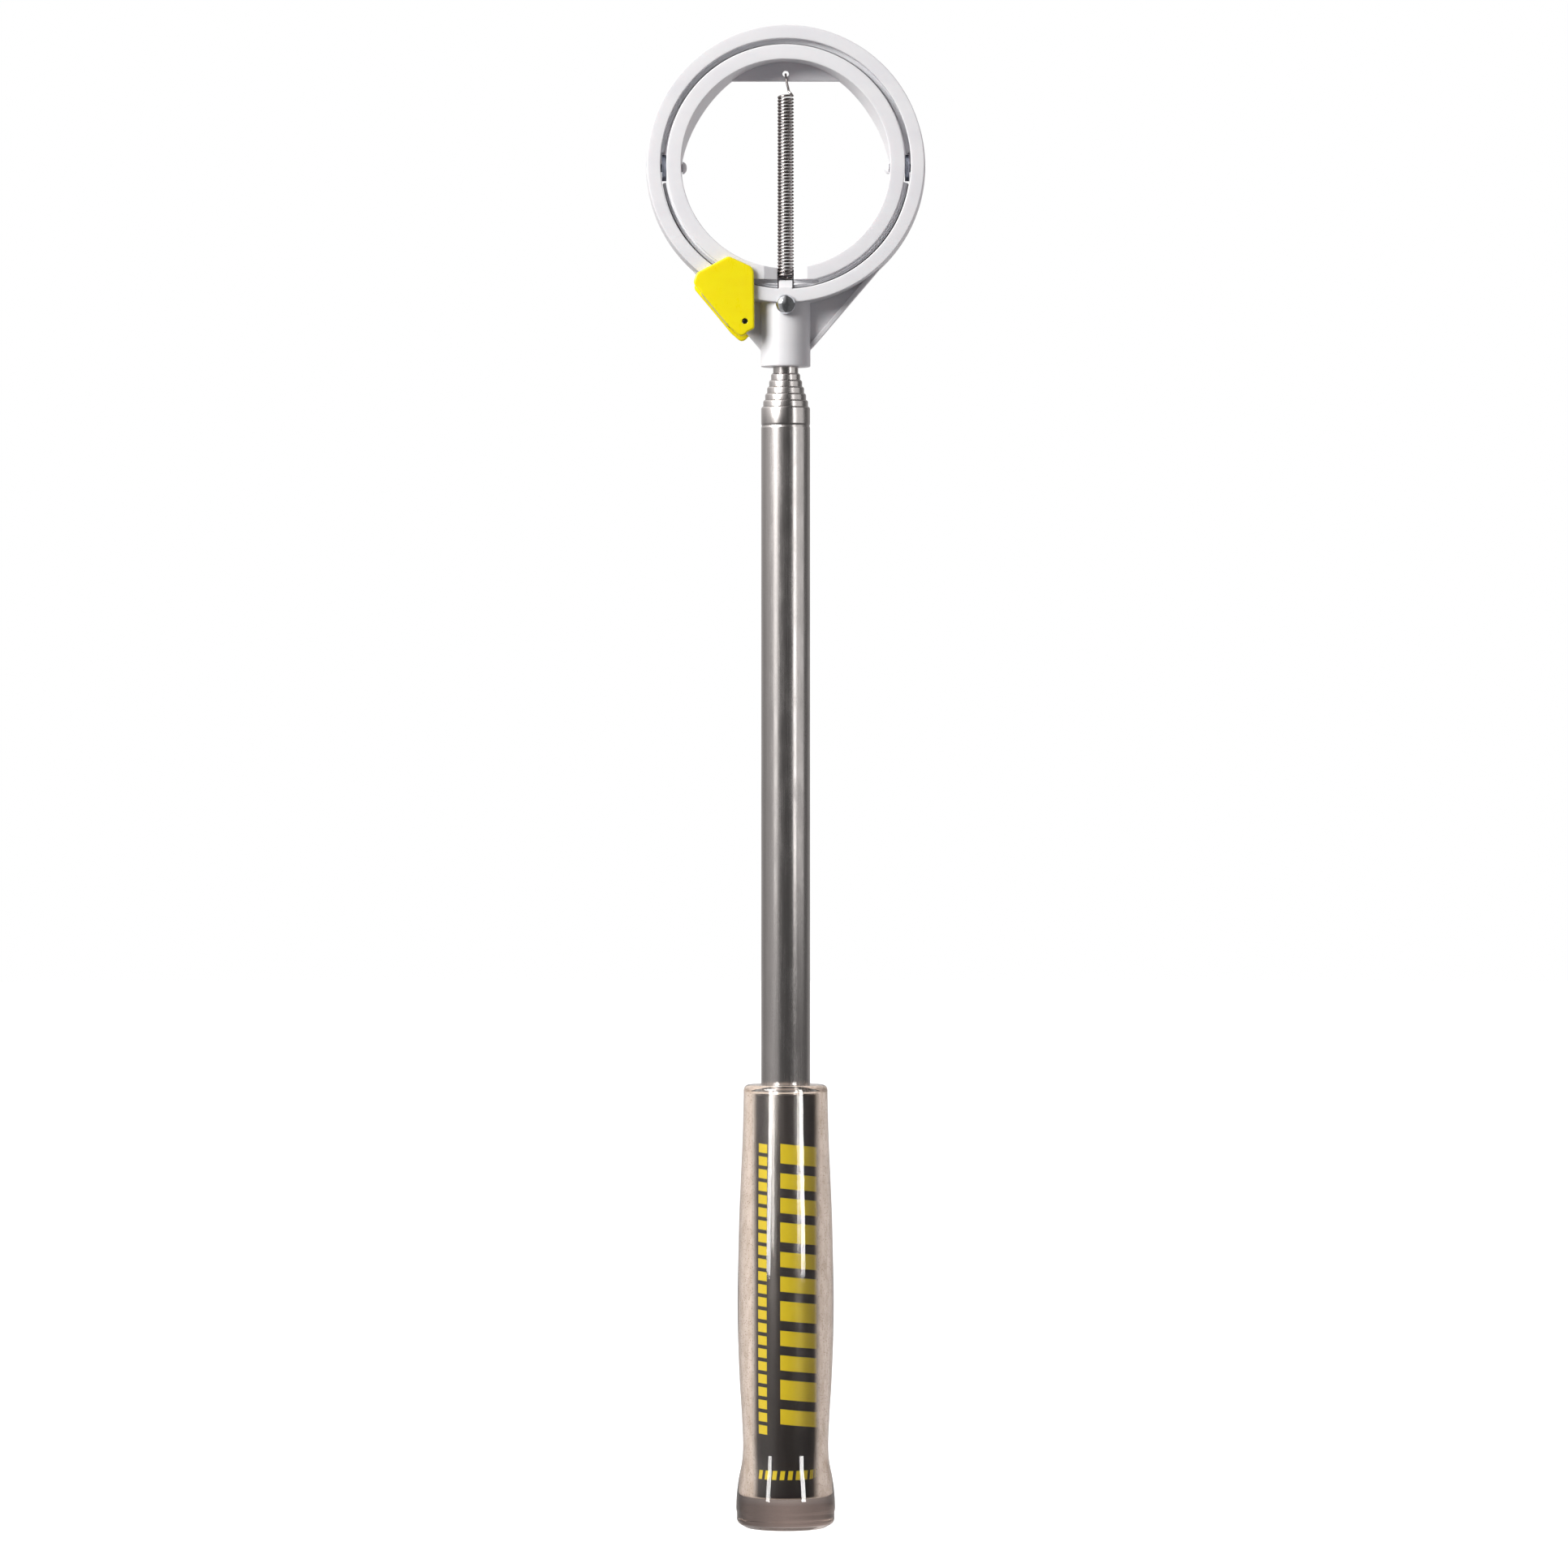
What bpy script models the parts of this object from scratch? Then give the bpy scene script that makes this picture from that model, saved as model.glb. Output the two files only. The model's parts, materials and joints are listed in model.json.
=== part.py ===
"""Telescopic golf ball retriever: clear grip, seven nested tubes and a flip-ring head.

Frame: +Z runs up the shaft from the grip's flat butt (z = 0) to the head, the front of the
head faces -Y and +X is to the right of someone who faces the front. All lengths are metres.
Head pieces are drawn as the front shows them: x right, y up, z out towards the front, from
the centre of the rings. The head_view empty turns that drawing upright.
"""
import math

import bmesh
import bpy
from mathutils import Matrix, Vector

MM = 0.001

# Shaft
TUBE_COUNT = 7
MAIN_RADIUS = 7.1 * MM
RADIUS_STEP = 0.575 * MM
WALL = 0.33 * MM
MAIN_BOTTOM = 9.6 * MM
MAIN_TOP = 325.8 * MM
TIP_STEP = 1.94 * MM
SOCKETED_TOP = 357.6 * MM
FIRST_INNER_BOTTOM = 17.6 * MM
BOTTOM_STEP = 6.2 * MM
NECK_DEPTH = 0.36 * MM
NECK_LENGTH = 5.6 * MM
NECK_SLOPE = 0.6 * MM
FOOT_HEIGHT = 0.4 * MM
FOOT_INSET = 0.08 * MM
GROOVE_DEPTH = 0.14 * MM
GROOVE_BELOW_TOP = 5.5 * MM
GROOVE_HALF_WIDTH = 0.6 * MM
LIP_INSET = 0.47 * MM
LIP_HEIGHT = 0.5 * MM
LIP_ROUND = 0.25 * MM
TUBE_SEGMENTS = 24

# Friction bushes
BUSH_INSIDE = 0.2 * MM
BUSH_OUTSIDE = 0.12 * MM
BUSH_LIFT = 1.0 * MM
BUSH_HEIGHT = 3.7 * MM
BUSH_SWEEP = math.radians(340)
BUSH_SEGMENTS = 20

# Grip and label sleeve
GRIP_STATIONS = (
    (4.4, 14.2), (6.0, 14.4), (10.0, 14.2), (14.6, 13.6), (19.2, 12.7), (24.4, 12.4),
    (33.6, 12.8), (43.2, 13.4), (56.8, 13.9), (67.2, 14.0), (77.6, 13.8), (90.4, 13.5),
    (102.4, 13.0), (113.6, 12.5), (125.6, 12.2),
)
GRIP_LENGTH = 128.8 * MM
GRIP_BUTT_RADIUS = 9.2 * MM
GRIP_BORE = 8.3 * MM
GRIP_FLOOR = 8.8 * MM
GRIP_MOUTH = 7.4 * MM
GRIP_MOUTH_HEIGHT = 2.2 * MM
GRIP_SHOULDER = 1.8 * MM
GRIP_SHOULDER_STEP = Vector((0.5 * MM, 0.8 * MM))
GRIP_BUTT_ROUND = (12.5 * MM, 1.5 * MM)
GRIP_SEGMENTS = 32
SLEEVE_INSIDE = 7.4 * MM
SLEEVE_OUTSIDE = 8.0 * MM
SLEEVE_BOTTOM = 9.2 * MM
SLEEVE_TOP = 126.0 * MM
PLUG_GAP = 0.25 * MM
END_PLUG_LENGTH = 7.2 * MM
TIP_PLUG_LENGTH = 11.2 * MM

# Head: both rings, seen from the front
RING_CENTRE = Vector((0.0, 0.0, 396.0 * MM))
FRONT = 7.6 * MM
INNER_REAR = -4.0 * MM
FRAME_REAR = -4.0 * MM
FRAME_IN = 36.3 * MM
FRAME_OUT_FRONT = 40.2 * MM
FRAME_OUT_REAR = 40.7 * MM
INNER_IN = 30.3 * MM
INNER_OUT = 34.6 * MM
EDGE = 0.4 * MM
RING_SEGMENTS = 64
WELD = 1.2 * MM
PIVOT_DEPTH = 1.8 * MM
PIVOT_DROP = 0.9 * MM
LEDGE_IN = 34.2 * MM
LEDGE_FRONT = -4.25 * MM
LEDGE_REAR = -4.9 * MM
LEDGE_START = math.radians(11)
STOP_INSET = 0.08 * MM
COVER_IN = 34.75 * MM
COVER_START = math.radians(0.8)
SHELF_IN = 35.25 * MM
SHELF_LIP_IN = 35.05 * MM
SHELF_LIP_REAR = 5.2 * MM
SHELF_FRONT = 6.2 * MM
SHELF_START = math.radians(5.3)
COLLAR_OUT = 36.15 * MM
COLLAR_REAR = 1.2 * MM
COLLAR_FRONT = 2.4 * MM
FLANGE_OUT = 35.95 * MM
FLANGE_FRONT = 5.2 * MM
STEP_OUT = 35.2 * MM
STEP_FRONT = 6.6 * MM
FLANGE_START = math.radians(8.8)
REAR_BULGE = 2.2 * MM
PLATE_BOTTOM = 24.7 * MM
PLATE_DEPTH = 2.0 * MM
PLATE_OUT = 32.8 * MM
HOOK_HOLE = Vector((0.0, 26.9 * MM))
HOOK_HOLE_RADIUS = 0.95 * MM
SLOT_HALF_WIDTH = 2.7 * MM
SLOT_REAR = 1.6 * MM
RAMP_HALF_WIDTH = 6.3 * MM
RAMP_DEPTH = 1.5 * MM
FLAT_TOP = -33.5 * MM
FLAT_LOW = -34.65 * MM
FLAT_REAR = 4.6 * MM
FLAT_HALF_WIDTH = 9.5 * MM

# Head: socket, webs and bosses
SOCKET_RADIUS = 7.2 * MM
SOCKET_BOTTOM = -58.6 * MM
SOCKET_TOP = -37.6 * MM
SOCKET_BORE_TOP = -38.1 * MM
WEB_FOOT = Vector((7.2 * MM, -53.6 * MM))
WEB_FRONT = -1.6 * MM
WEB_REAR = -4.0 * MM
STUB_HALF_WIDTH = 2.25 * MM
STUB_TOP = -33.75 * MM
STUB_REAR = 2.4 * MM
ANCHOR_DEPTH = 4.6 * MM
ANCHOR_HOLE_RADIUS = 0.75 * MM
ANCHOR_HOLE_BOTTOM = -36.5 * MM
RIVET_HEIGHT = -40.8 * MM
RIVET_BOSS_RADIUS = 2.6 * MM
RIVET_RADIUS = 1.25 * MM
RIVET_LENGTH = 9.0 * MM
RIVET_HEAD_RADIUS = 2.85 * MM
RIVET_HEAD_HEIGHT = 2.0 * MM
CLEARANCE = 0.25 * MM

# Ring pivots
PIN_RADIUS = 1.2 * MM
PIN_HEAD_RADIUS = 1.8 * MM
PIN_HEAD_HEIGHT = 1.3 * MM
PIN_HEAD_SEAT = 30.0 * MM
PIN_END = 40.1 * MM
WASHER_RADIUS = 3.85 * MM
WASHER_FROM = 34.68 * MM
WASHER_TO = 35.93 * MM

# Latch
LATCH_OUTLINE = (
    (-16.6, -26.9), (-25.6, -31.7), (-26.5, -33.2), (-26.6, -35.0), (-16.1, -47.6),
    (-14.2, -49.5), (-12.3, -50.0), (-10.3, -48.6), (-9.0, -47.2), (-9.2, -30.5),
)
LATCH_PIVOT = Vector((-11.8 * MM, -45.8 * MM))
LATCH_CHEEK = 1.5 * MM
LATCH_FRONT_GAP = 0.3 * MM
LATCH_REAR = -4.3 * MM
LATCH_REAR_RADIUS = 36.6 * MM
LATCH_BRIDGE_INNER = 41.1 * MM
LATCH_BRIDGE_OUTER = 42.8 * MM
LATCH_BRIDGE_FROM = 2.4 * MM
LATCH_BRIDGE_TO = 14.8 * MM
LATCH_HOLE_RADIUS = 0.85 * MM
LATCH_PIN_RADIUS = 0.6 * MM
LATCH_BOSS_RADIUS = 2.25 * MM

# Spring
SPRING_TURNS = 55
SPRING_MEAN_RADIUS = 1.96 * MM
SPRING_WIRE_RADIUS = 0.34 * MM
SPRING_BOTTOM = Vector((0.0, -32.5 * MM, 4.6 * MM))
SPRING_TOP = Vector((0.0, 20.2 * MM, 0.5 * MM))
SPRING_STEPS_PER_TURN = 6
HOOK_BEND = 0.9 * MM
HOOK_FRONT = -1.3 * MM
HOOK_REAR = -4.7 * MM
FOOT_TURN = Vector((1.0 * MM, -0.45 * MM))
HOOK_TURN = Vector((1.55 * MM, 1.25 * MM))
HOOK_LEAD = Vector((0.7 * MM, 2.45 * MM))


def clear_scene():
    for obj in list(bpy.data.objects):
        bpy.data.objects.remove(obj, do_unlink=True)


def finish(name, colour, roughness, metallic=0.0):
    """A plain Principled material."""
    mat = bpy.data.materials.new(name)
    mat.use_nodes = True
    shader = mat.node_tree.nodes["Principled BSDF"]
    shader.inputs["Base Color"].default_value = (*colour, 1.0)
    shader.inputs["Roughness"].default_value = roughness
    shader.inputs["Metallic"].default_value = metallic
    return mat


def empty(name, location=(0.0, 0.0, 0.0), parent=None, rotation=(0.0, 0.0, 0.0)):
    obj = bpy.data.objects.new(name, None)
    bpy.context.scene.collection.objects.link(obj)
    obj.parent = parent
    obj.location = location
    obj.rotation_euler = rotation
    return obj


def solid(name, bm, mat, location=(0.0, 0.0, 0.0), parent=None):
    """Turn a bmesh into a named object, smooth where its faces meet gently."""
    bmesh.ops.recalc_face_normals(bm, faces=bm.faces)
    mesh = bpy.data.meshes.new(name)
    bm.to_mesh(mesh)
    bm.free()
    mesh.materials.append(mat)
    mesh.shade_smooth()
    mesh.set_sharp_from_angle(angle=math.radians(35))
    obj = bpy.data.objects.new(name, mesh)
    bpy.context.scene.collection.objects.link(obj)
    obj.parent = parent
    obj.location = location
    return obj


def join(obj, operation, name, bm, location=(0.0, 0.0, 0.0), parent=None):
    """Add bm to obj, or cut it away, with a Boolean that stays live."""
    tool = solid(name, bm, obj.data.materials[0], location, parent)
    tool.hide_render = True
    tool.display_type = "WIRE"
    boolean = obj.modifiers.new(name, "BOOLEAN")
    boolean.operation = operation
    boolean.solver = "EXACT"
    boolean.object = tool


def turned(profile, segments, start=0.0, sweep=math.tau):
    """Spin a (radius, height) outline about Z.

    An outline whose two ends lie on the axis stays open there; any other outline is a loop.
    A sweep below a full turn is closed with a flat face at each end.
    """
    bm = bmesh.new()
    whole = sweep >= math.tau - 1e-6
    on_axis = profile[0][0] == 0.0 and profile[-1][0] == 0.0
    verts = [bm.verts.new((radius, 0.0, height)) for radius, height in profile]
    for first, second in zip(verts, verts[1:]):
        bm.edges.new((first, second))
    if not on_axis:
        bm.edges.new((verts[-1], verts[0]))
    bmesh.ops.rotate(bm, verts=verts, cent=(0, 0, 0), matrix=Matrix.Rotation(start, 3, "Z"))
    bmesh.ops.spin(bm, geom=bm.verts[:] + bm.edges[:], cent=(0, 0, 0), axis=(0, 0, 1),
                   dvec=(0, 0, 0), angle=sweep, steps=segments, use_merge=whole)
    bmesh.ops.remove_doubles(bm, verts=bm.verts, dist=1e-7)
    if not whole:
        rims = [edge for edge in bm.edges if edge.is_boundary]
        bmesh.ops.holes_fill(bm, edges=rims, sides=0)
    return bm


def plate(outline, low, high):
    """Extrude a flat (x, y) outline from z = low to z = high."""
    bm = bmesh.new()
    face = bm.faces.new([bm.verts.new((point[0], point[1], low)) for point in outline])
    raised = bmesh.ops.extrude_face_region(bm, geom=[face])
    moved = [item for item in raised["geom"] if isinstance(item, bmesh.types.BMVert)]
    bmesh.ops.translate(bm, verts=moved, vec=(0.0, 0.0, high - low))
    return bm


def rod(radius, low, high, segments=16, axis="Z"):
    """A plain cylinder from low to high along one axis."""
    bm = bmesh.new()
    bmesh.ops.create_cone(bm, cap_ends=True, segments=segments, radius1=radius,
                          radius2=radius, depth=high - low)
    bmesh.ops.translate(bm, verts=bm.verts, vec=(0.0, 0.0, (high + low) / 2))
    turns = {"Z": Matrix.Identity(3), "Y": Matrix.Rotation(-math.pi / 2, 3, "X"),
             "X": Matrix.Rotation(math.pi / 2, 3, "Y")}
    bmesh.ops.rotate(bm, verts=bm.verts, cent=(0, 0, 0), matrix=turns[axis])
    return bm


def arc(radius, start, end, steps):
    """Points on a circle about the origin, both ends included."""
    angles = [start + (end - start) * i / steps for i in range(steps + 1)]
    return [(radius * math.cos(angle), radius * math.sin(angle)) for angle in angles]


def stretch(profile, matrix):
    """Apply a 3x3 matrix to a bmesh."""
    bmesh.ops.transform(profile, matrix=matrix.to_4x4(), verts=profile.verts)
    return profile


# Shaft -------------------------------------------------------------------------------

def tube_radius(index):
    return MAIN_RADIUS - RADIUS_STEP * index


def tube_bottom(index):
    if index == 0:
        return MAIN_BOTTOM
    return FIRST_INNER_BOTTOM + BOTTOM_STEP * (index - 1)


def tube_top(index):
    if index == TUBE_COUNT - 1:
        return SOCKETED_TOP
    return MAIN_TOP + TIP_STEP * index


def bottom_outline(radius, necked):
    """Outside and inside points of a tube's bottom end: plain, or necked for a bush."""
    if not necked:
        return [(radius, 0.0)], [(radius - WALL, 0.0)]
    foot = radius - FOOT_INSET
    neck = radius - NECK_DEPTH
    outside = [(foot, 0.0), (foot, FOOT_HEIGHT), (neck, NECK_SLOPE),
               (neck, NECK_LENGTH - NECK_SLOPE), (radius, NECK_LENGTH)]
    inside = [(radius - WALL, NECK_LENGTH), (neck - WALL, NECK_LENGTH - NECK_SLOPE),
              (neck - WALL, 0.0)]
    return outside, inside


def top_outline(radius, length, rolled):
    """Outside and inside points of a tube's top end: plain, or rolled in with a groove."""
    bore = radius - WALL
    if not rolled:
        return [(radius, length)], [(bore, length)]
    groove = length - GROOVE_BELOW_TOP
    outside = [(radius, groove - GROOVE_HALF_WIDTH), (radius - GROOVE_DEPTH, groove),
               (radius, groove + GROOVE_HALF_WIDTH), (radius, length - 2 * LIP_ROUND),
               (radius - LIP_ROUND, length)]
    inside = [(radius - LIP_INSET, length), (radius - LIP_INSET, length - LIP_HEIGHT),
              (bore, length - 2 * LIP_HEIGHT), (bore, groove + GROOVE_HALF_WIDTH),
              (bore - GROOVE_DEPTH, groove), (bore, groove - GROOVE_HALF_WIDTH)]
    return outside, inside


def build_tube(index, steel, empties):
    radius = tube_radius(index)
    length = tube_top(index) - tube_bottom(index)
    low_out, low_in = bottom_outline(radius, index > 0)
    high_out, high_in = top_outline(radius, length, index < TUBE_COUNT - 1)
    name = "main_tube" if index == 0 else f"tube_{index + 1}"
    bm = turned(low_out + high_out + high_in + low_in, TUBE_SEGMENTS)
    obj = solid(name, bm, steel, parent=empties[index])
    if index == TUBE_COUNT - 1:
        hole = rod(RIVET_RADIUS + CLEARANCE, -FRONT, 0.0, 12, "Y")
        height = RING_CENTRE.z + RIVET_HEIGHT - tube_bottom(index)
        join(obj, "DIFFERENCE", "tip_rivet_hole", hole, (0.0, 0.0, height), empties[index])


def build_bush(index, nylon, empties):
    """A split ring that grips the neck of a tube and rubs in the tube around it."""
    inside = tube_radius(index) - BUSH_INSIDE
    outside = tube_radius(index) + BUSH_OUTSIDE
    low = BUSH_LIFT
    high = BUSH_LIFT + BUSH_HEIGHT
    profile = [(inside, low), (outside, low), (outside, high), (inside, high)]
    bm = turned(profile, BUSH_SEGMENTS, math.radians(100), BUSH_SWEEP)
    solid(f"bush_{index + 1}", bm, nylon, parent=empties[index])


def build_plugs(nylon, empties):
    """The plug in the butt of the main tube and the one in the tip that takes the rivet."""
    radius = MAIN_RADIUS - WALL - PLUG_GAP
    bm = rod(radius, PLUG_GAP, END_PLUG_LENGTH, TUBE_SEGMENTS)
    solid("end_plug", bm, nylon, parent=empties[0])
    tip = TUBE_COUNT - 1
    radius = tube_radius(tip) - WALL - PLUG_GAP
    top = SOCKETED_TOP - tube_bottom(tip) - PLUG_GAP
    plug = solid("tip_plug", rod(radius, top - TIP_PLUG_LENGTH, top, TUBE_SEGMENTS), nylon,
                 parent=empties[tip])
    hole = rod(RIVET_RADIUS + CLEARANCE, -FRONT, FRONT, 12, "Y")
    height = RING_CENTRE.z + RIVET_HEIGHT - tube_bottom(tip)
    join(plug, "DIFFERENCE", "plug_rivet_hole", hole, (0.0, 0.0, height), empties[tip])


# Grip --------------------------------------------------------------------------------

def build_grip(clear, parent):
    """Clear moulded grip: swelling body, flared butt, blind bore and a narrow mouth."""
    outside = [(0.0, 0.0), (GRIP_BUTT_RADIUS, 0.0), GRIP_BUTT_ROUND]
    outside += [(radius * MM, height * MM) for height, radius in GRIP_STATIONS]
    shoulder = GRIP_STATIONS[-1][1] * MM
    outside += [(shoulder - GRIP_SHOULDER_STEP.x, GRIP_LENGTH - GRIP_SHOULDER_STEP.y),
                (shoulder - GRIP_SHOULDER, GRIP_LENGTH)]
    mouth_low = GRIP_LENGTH - GRIP_MOUTH_HEIGHT
    inside = [(GRIP_MOUTH, GRIP_LENGTH), (GRIP_MOUTH, mouth_low), (GRIP_BORE, mouth_low),
              (GRIP_BORE, GRIP_FLOOR), (0.0, GRIP_FLOOR)]
    solid("grip", turned(outside + inside, GRIP_SEGMENTS), clear, parent=parent)


def build_sleeve(black, parent):
    profile = [(SLEEVE_INSIDE, SLEEVE_BOTTOM), (SLEEVE_OUTSIDE, SLEEVE_BOTTOM),
               (SLEEVE_OUTSIDE, SLEEVE_TOP), (SLEEVE_INSIDE, SLEEVE_TOP)]
    solid("label_sleeve", turned(profile, GRIP_SEGMENTS), black, parent=parent)


# Head --------------------------------------------------------------------------------

def frame_ring():
    profile = [(FRAME_IN, FRONT - EDGE), (FRAME_IN + EDGE, FRONT),
               (FRAME_OUT_FRONT - EDGE, FRONT), (FRAME_OUT_FRONT, FRONT - EDGE),
               (FRAME_OUT_REAR, FRAME_REAR), (FRAME_IN, FRAME_REAR)]
    return turned(profile, RING_SEGMENTS)


def upper_half(profile, start):
    return turned(profile, RING_SEGMENTS // 2, start, math.pi - 2 * start)


def gap_cover():
    """Half-round lip on the frame's rear that reaches in over the gap."""
    root = FRAME_IN + WELD
    rim = FRAME_OUT_REAR - EDGE
    return upper_half([(COVER_IN, LEDGE_REAR), (COVER_IN, LEDGE_FRONT), (root, LEDGE_FRONT),
                       (root, FRAME_REAR + EDGE), (rim, FRAME_REAR + EDGE),
                       (rim, LEDGE_REAR)], COVER_START)


def gap_shelf():
    """Step on the frame's inner wall that the upper gap shows, clear of the turning ring."""
    low = LEDGE_REAR + STOP_INSET
    root = FRAME_IN + WELD + EDGE
    return upper_half([(SHELF_IN, low), (SHELF_IN, SHELF_LIP_REAR),
                       (SHELF_LIP_IN, SHELF_LIP_REAR), (SHELF_LIP_IN, SHELF_FRONT),
                       (root, SHELF_FRONT), (root, low)], SHELF_START)


def ring_stop():
    """Thinner lip that reaches behind the inner ring and stops it tipping back."""
    low = LEDGE_REAR + 2 * STOP_INSET
    high = LEDGE_FRONT - STOP_INSET
    root = SHELF_IN + EDGE
    return upper_half([(LEDGE_IN, low), (LEDGE_IN, high), (root, high), (root, low)],
                      LEDGE_START)


def web_outline():
    """Both webs as one outline: straight tangents from the socket's sides to the ring."""
    reach = FRAME_OUT_REAR - EDGE
    foot_angle = math.atan2(WEB_FOOT.y, WEB_FOOT.x)
    touch = foot_angle + math.acos(reach / WEB_FOOT.length)
    across = math.pi - touch
    inner = FRAME_IN + WELD
    left_touch = (reach * math.cos(across), reach * math.sin(across))
    right_touch = (reach * math.cos(touch), reach * math.sin(touch))
    inside = arc(inner, across - math.tau, touch, 12)
    return [(-WEB_FOOT.x, WEB_FOOT.y), (WEB_FOOT.x, WEB_FOOT.y), right_touch,
            *reversed(inside), left_touch]


def build_frame(white, view):
    """Outer ring, rear ledge, socket, webs, spring stub and two bosses in one moulding."""
    frame = solid("head_frame", frame_ring(), white, parent=view)
    join(frame, "UNION", "frame_gap_cover", gap_cover(), parent=view)
    join(frame, "UNION", "frame_gap_shelf", gap_shelf(), parent=view)
    join(frame, "UNION", "frame_ring_stop", ring_stop(), parent=view)
    socket = rod(SOCKET_RADIUS, SOCKET_BOTTOM, SOCKET_TOP, 32, "Y")
    join(frame, "UNION", "frame_socket", socket, parent=view)
    webs = plate(web_outline(), WEB_REAR, WEB_FRONT)
    join(frame, "UNION", "frame_webs", webs, parent=view)
    half = STUB_HALF_WIDTH
    low = -FRAME_IN - WELD
    stub = plate([(-half, low), (half, low), (half, STUB_TOP), (-half, STUB_TOP)],
                 STUB_REAR, FRONT)
    join(frame, "UNION", "frame_stub", stub, parent=view)
    boss = rod(RIVET_BOSS_RADIUS, 0.0, FRONT, 20)
    join(frame, "UNION", "frame_rivet_boss", boss, (0.0, RIVET_HEIGHT, 0.0), view)
    boss = rod(LATCH_BOSS_RADIUS, WEB_REAR + EDGE, FRONT, 20)
    join(frame, "UNION", "frame_latch_boss", boss, (*LATCH_PIVOT, 0.0), view)

    bore = rod(tube_radius(TUBE_COUNT - 1) + CLEARANCE, SOCKET_BOTTOM - EDGE,
               SOCKET_BORE_TOP, TUBE_SEGMENTS, "Y")
    join(frame, "DIFFERENCE", "frame_socket_bore", bore, parent=view)
    bore = rod(PIN_RADIUS + CLEARANCE, -FRAME_OUT_REAR - EDGE, FRAME_OUT_REAR + EDGE, 16, "X")
    join(frame, "DIFFERENCE", "frame_pivot_bore", bore, (0.0, -PIVOT_DROP, PIVOT_DEPTH), view)
    bore = rod(RIVET_RADIUS + CLEARANCE, 0.0, FRONT + EDGE, 12)
    join(frame, "DIFFERENCE", "frame_rivet_bore", bore, (0.0, RIVET_HEIGHT, 0.0), view)
    bore = rod(LATCH_HOLE_RADIUS, WEB_REAR - EDGE, FRONT + EDGE, 12)
    join(frame, "DIFFERENCE", "frame_latch_bore", bore, (*LATCH_PIVOT, 0.0), view)
    bore = rod(ANCHOR_HOLE_RADIUS, ANCHOR_HOLE_BOTTOM, STUB_TOP + EDGE, 8, "Y")
    join(frame, "DIFFERENCE", "frame_anchor_hole", bore, (0.0, 0.0, ANCHOR_DEPTH), view)


def slot_outline():
    """Slot for the stub, seen from below: straight sides that open out as ramps in front."""
    half, ramp, out = SLOT_HALF_WIDTH, RAMP_HALF_WIDTH, FRONT + EDGE
    return [(-half, SLOT_REAR), (half, SLOT_REAR), (half, FRONT - RAMP_DEPTH),
            (ramp, FRONT), (ramp, out), (-ramp, out), (-ramp, FRONT),
            (-half, FRONT - RAMP_DEPTH)]


def build_inner_ring(white, pivot):
    """Flip ring: its upper wall leans in behind the face and carries the spring plate."""
    profile = [(INNER_IN, FRONT - EDGE), (INNER_IN + EDGE, FRONT),
               (INNER_OUT - EDGE, FRONT), (INNER_OUT, FRONT - EDGE),
               (INNER_OUT, INNER_REAR), (INNER_IN, INNER_REAR)]
    bm = turned(profile, RING_SEGMENTS)
    rear_inside = [vert for vert in bm.verts
                   if vert.co.z < INNER_REAR + EDGE and vert.co.xy.length < INNER_IN + EDGE]
    for vert in rear_inside:
        lean = 2.0 * vert.co.x ** 2 * max(0.0, vert.co.y) / INNER_IN ** 3
        vert.co.xy *= 1.0 - REAR_BULGE * lean / INNER_IN
    back = (0.0, PIVOT_DROP, -PIVOT_DEPTH)
    ring = solid("inner_ring", bm, white, back, pivot)

    root = INNER_OUT - EDGE
    profile = [(root, COLLAR_REAR), (root, STEP_FRONT), (STEP_OUT, STEP_FRONT),
               (STEP_OUT, FLANGE_FRONT), (FLANGE_OUT, FLANGE_FRONT),
               (FLANGE_OUT, COLLAR_FRONT), (COLLAR_OUT, COLLAR_FRONT),
               (COLLAR_OUT, COLLAR_REAR)]
    flange = turned(profile, RING_SEGMENTS // 2, math.pi + FLANGE_START,
                    math.pi - 2 * FLANGE_START)
    join(ring, "UNION", "ring_flange", flange, back, pivot)

    upright = Matrix.Rotation(math.pi / 2, 3, "X")
    slot = plate(slot_outline(), INNER_IN - WELD, COLLAR_OUT + EDGE)
    join(ring, "DIFFERENCE", "ring_slot", stretch(slot, upright), back, pivot)
    wide = FLAT_HALF_WIDTH
    flat = plate([(-wide, FLAT_LOW), (wide, FLAT_LOW), (wide, FLAT_TOP), (-wide, FLAT_TOP)],
                 FLAT_REAR, FRONT + EDGE)
    join(ring, "DIFFERENCE", "ring_flat", flat, back, pivot)
    half = math.acos(PLATE_BOTTOM / PLATE_OUT)
    outline = arc(PLATE_OUT, math.pi / 2 - half, math.pi / 2 + half, 12)
    web = plate(outline, INNER_REAR, INNER_REAR + PLATE_DEPTH)
    join(ring, "UNION", "ring_plate", web, back, pivot)
    hole = rod(HOOK_HOLE_RADIUS, INNER_REAR - EDGE, INNER_REAR + PLATE_DEPTH + EDGE, 12)
    join(ring, "DIFFERENCE", "ring_hook_hole", hole, Vector(back) + HOOK_HOLE.to_3d(), pivot)
    bore = rod(PIN_RADIUS + CLEARANCE, -FRAME_IN, FRAME_IN, 16, "X")
    join(ring, "DIFFERENCE", "ring_pivot_bore", bore, parent=pivot)


def dome(shank_radius, shank_length, head_radius, head_height, steps=4):
    """A domed head above z = 0 on a shank that runs down from it."""
    cap = [(head_radius * math.cos(angle), head_height * math.sin(angle))
           for angle in (math.pi / 2 * i / steps for i in range(steps + 1))]
    cap[-1] = (0.0, head_height)
    return turned([(0.0, -shank_length), (shank_radius, -shank_length), (shank_radius, 0.0),
                   *cap], 16)


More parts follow.
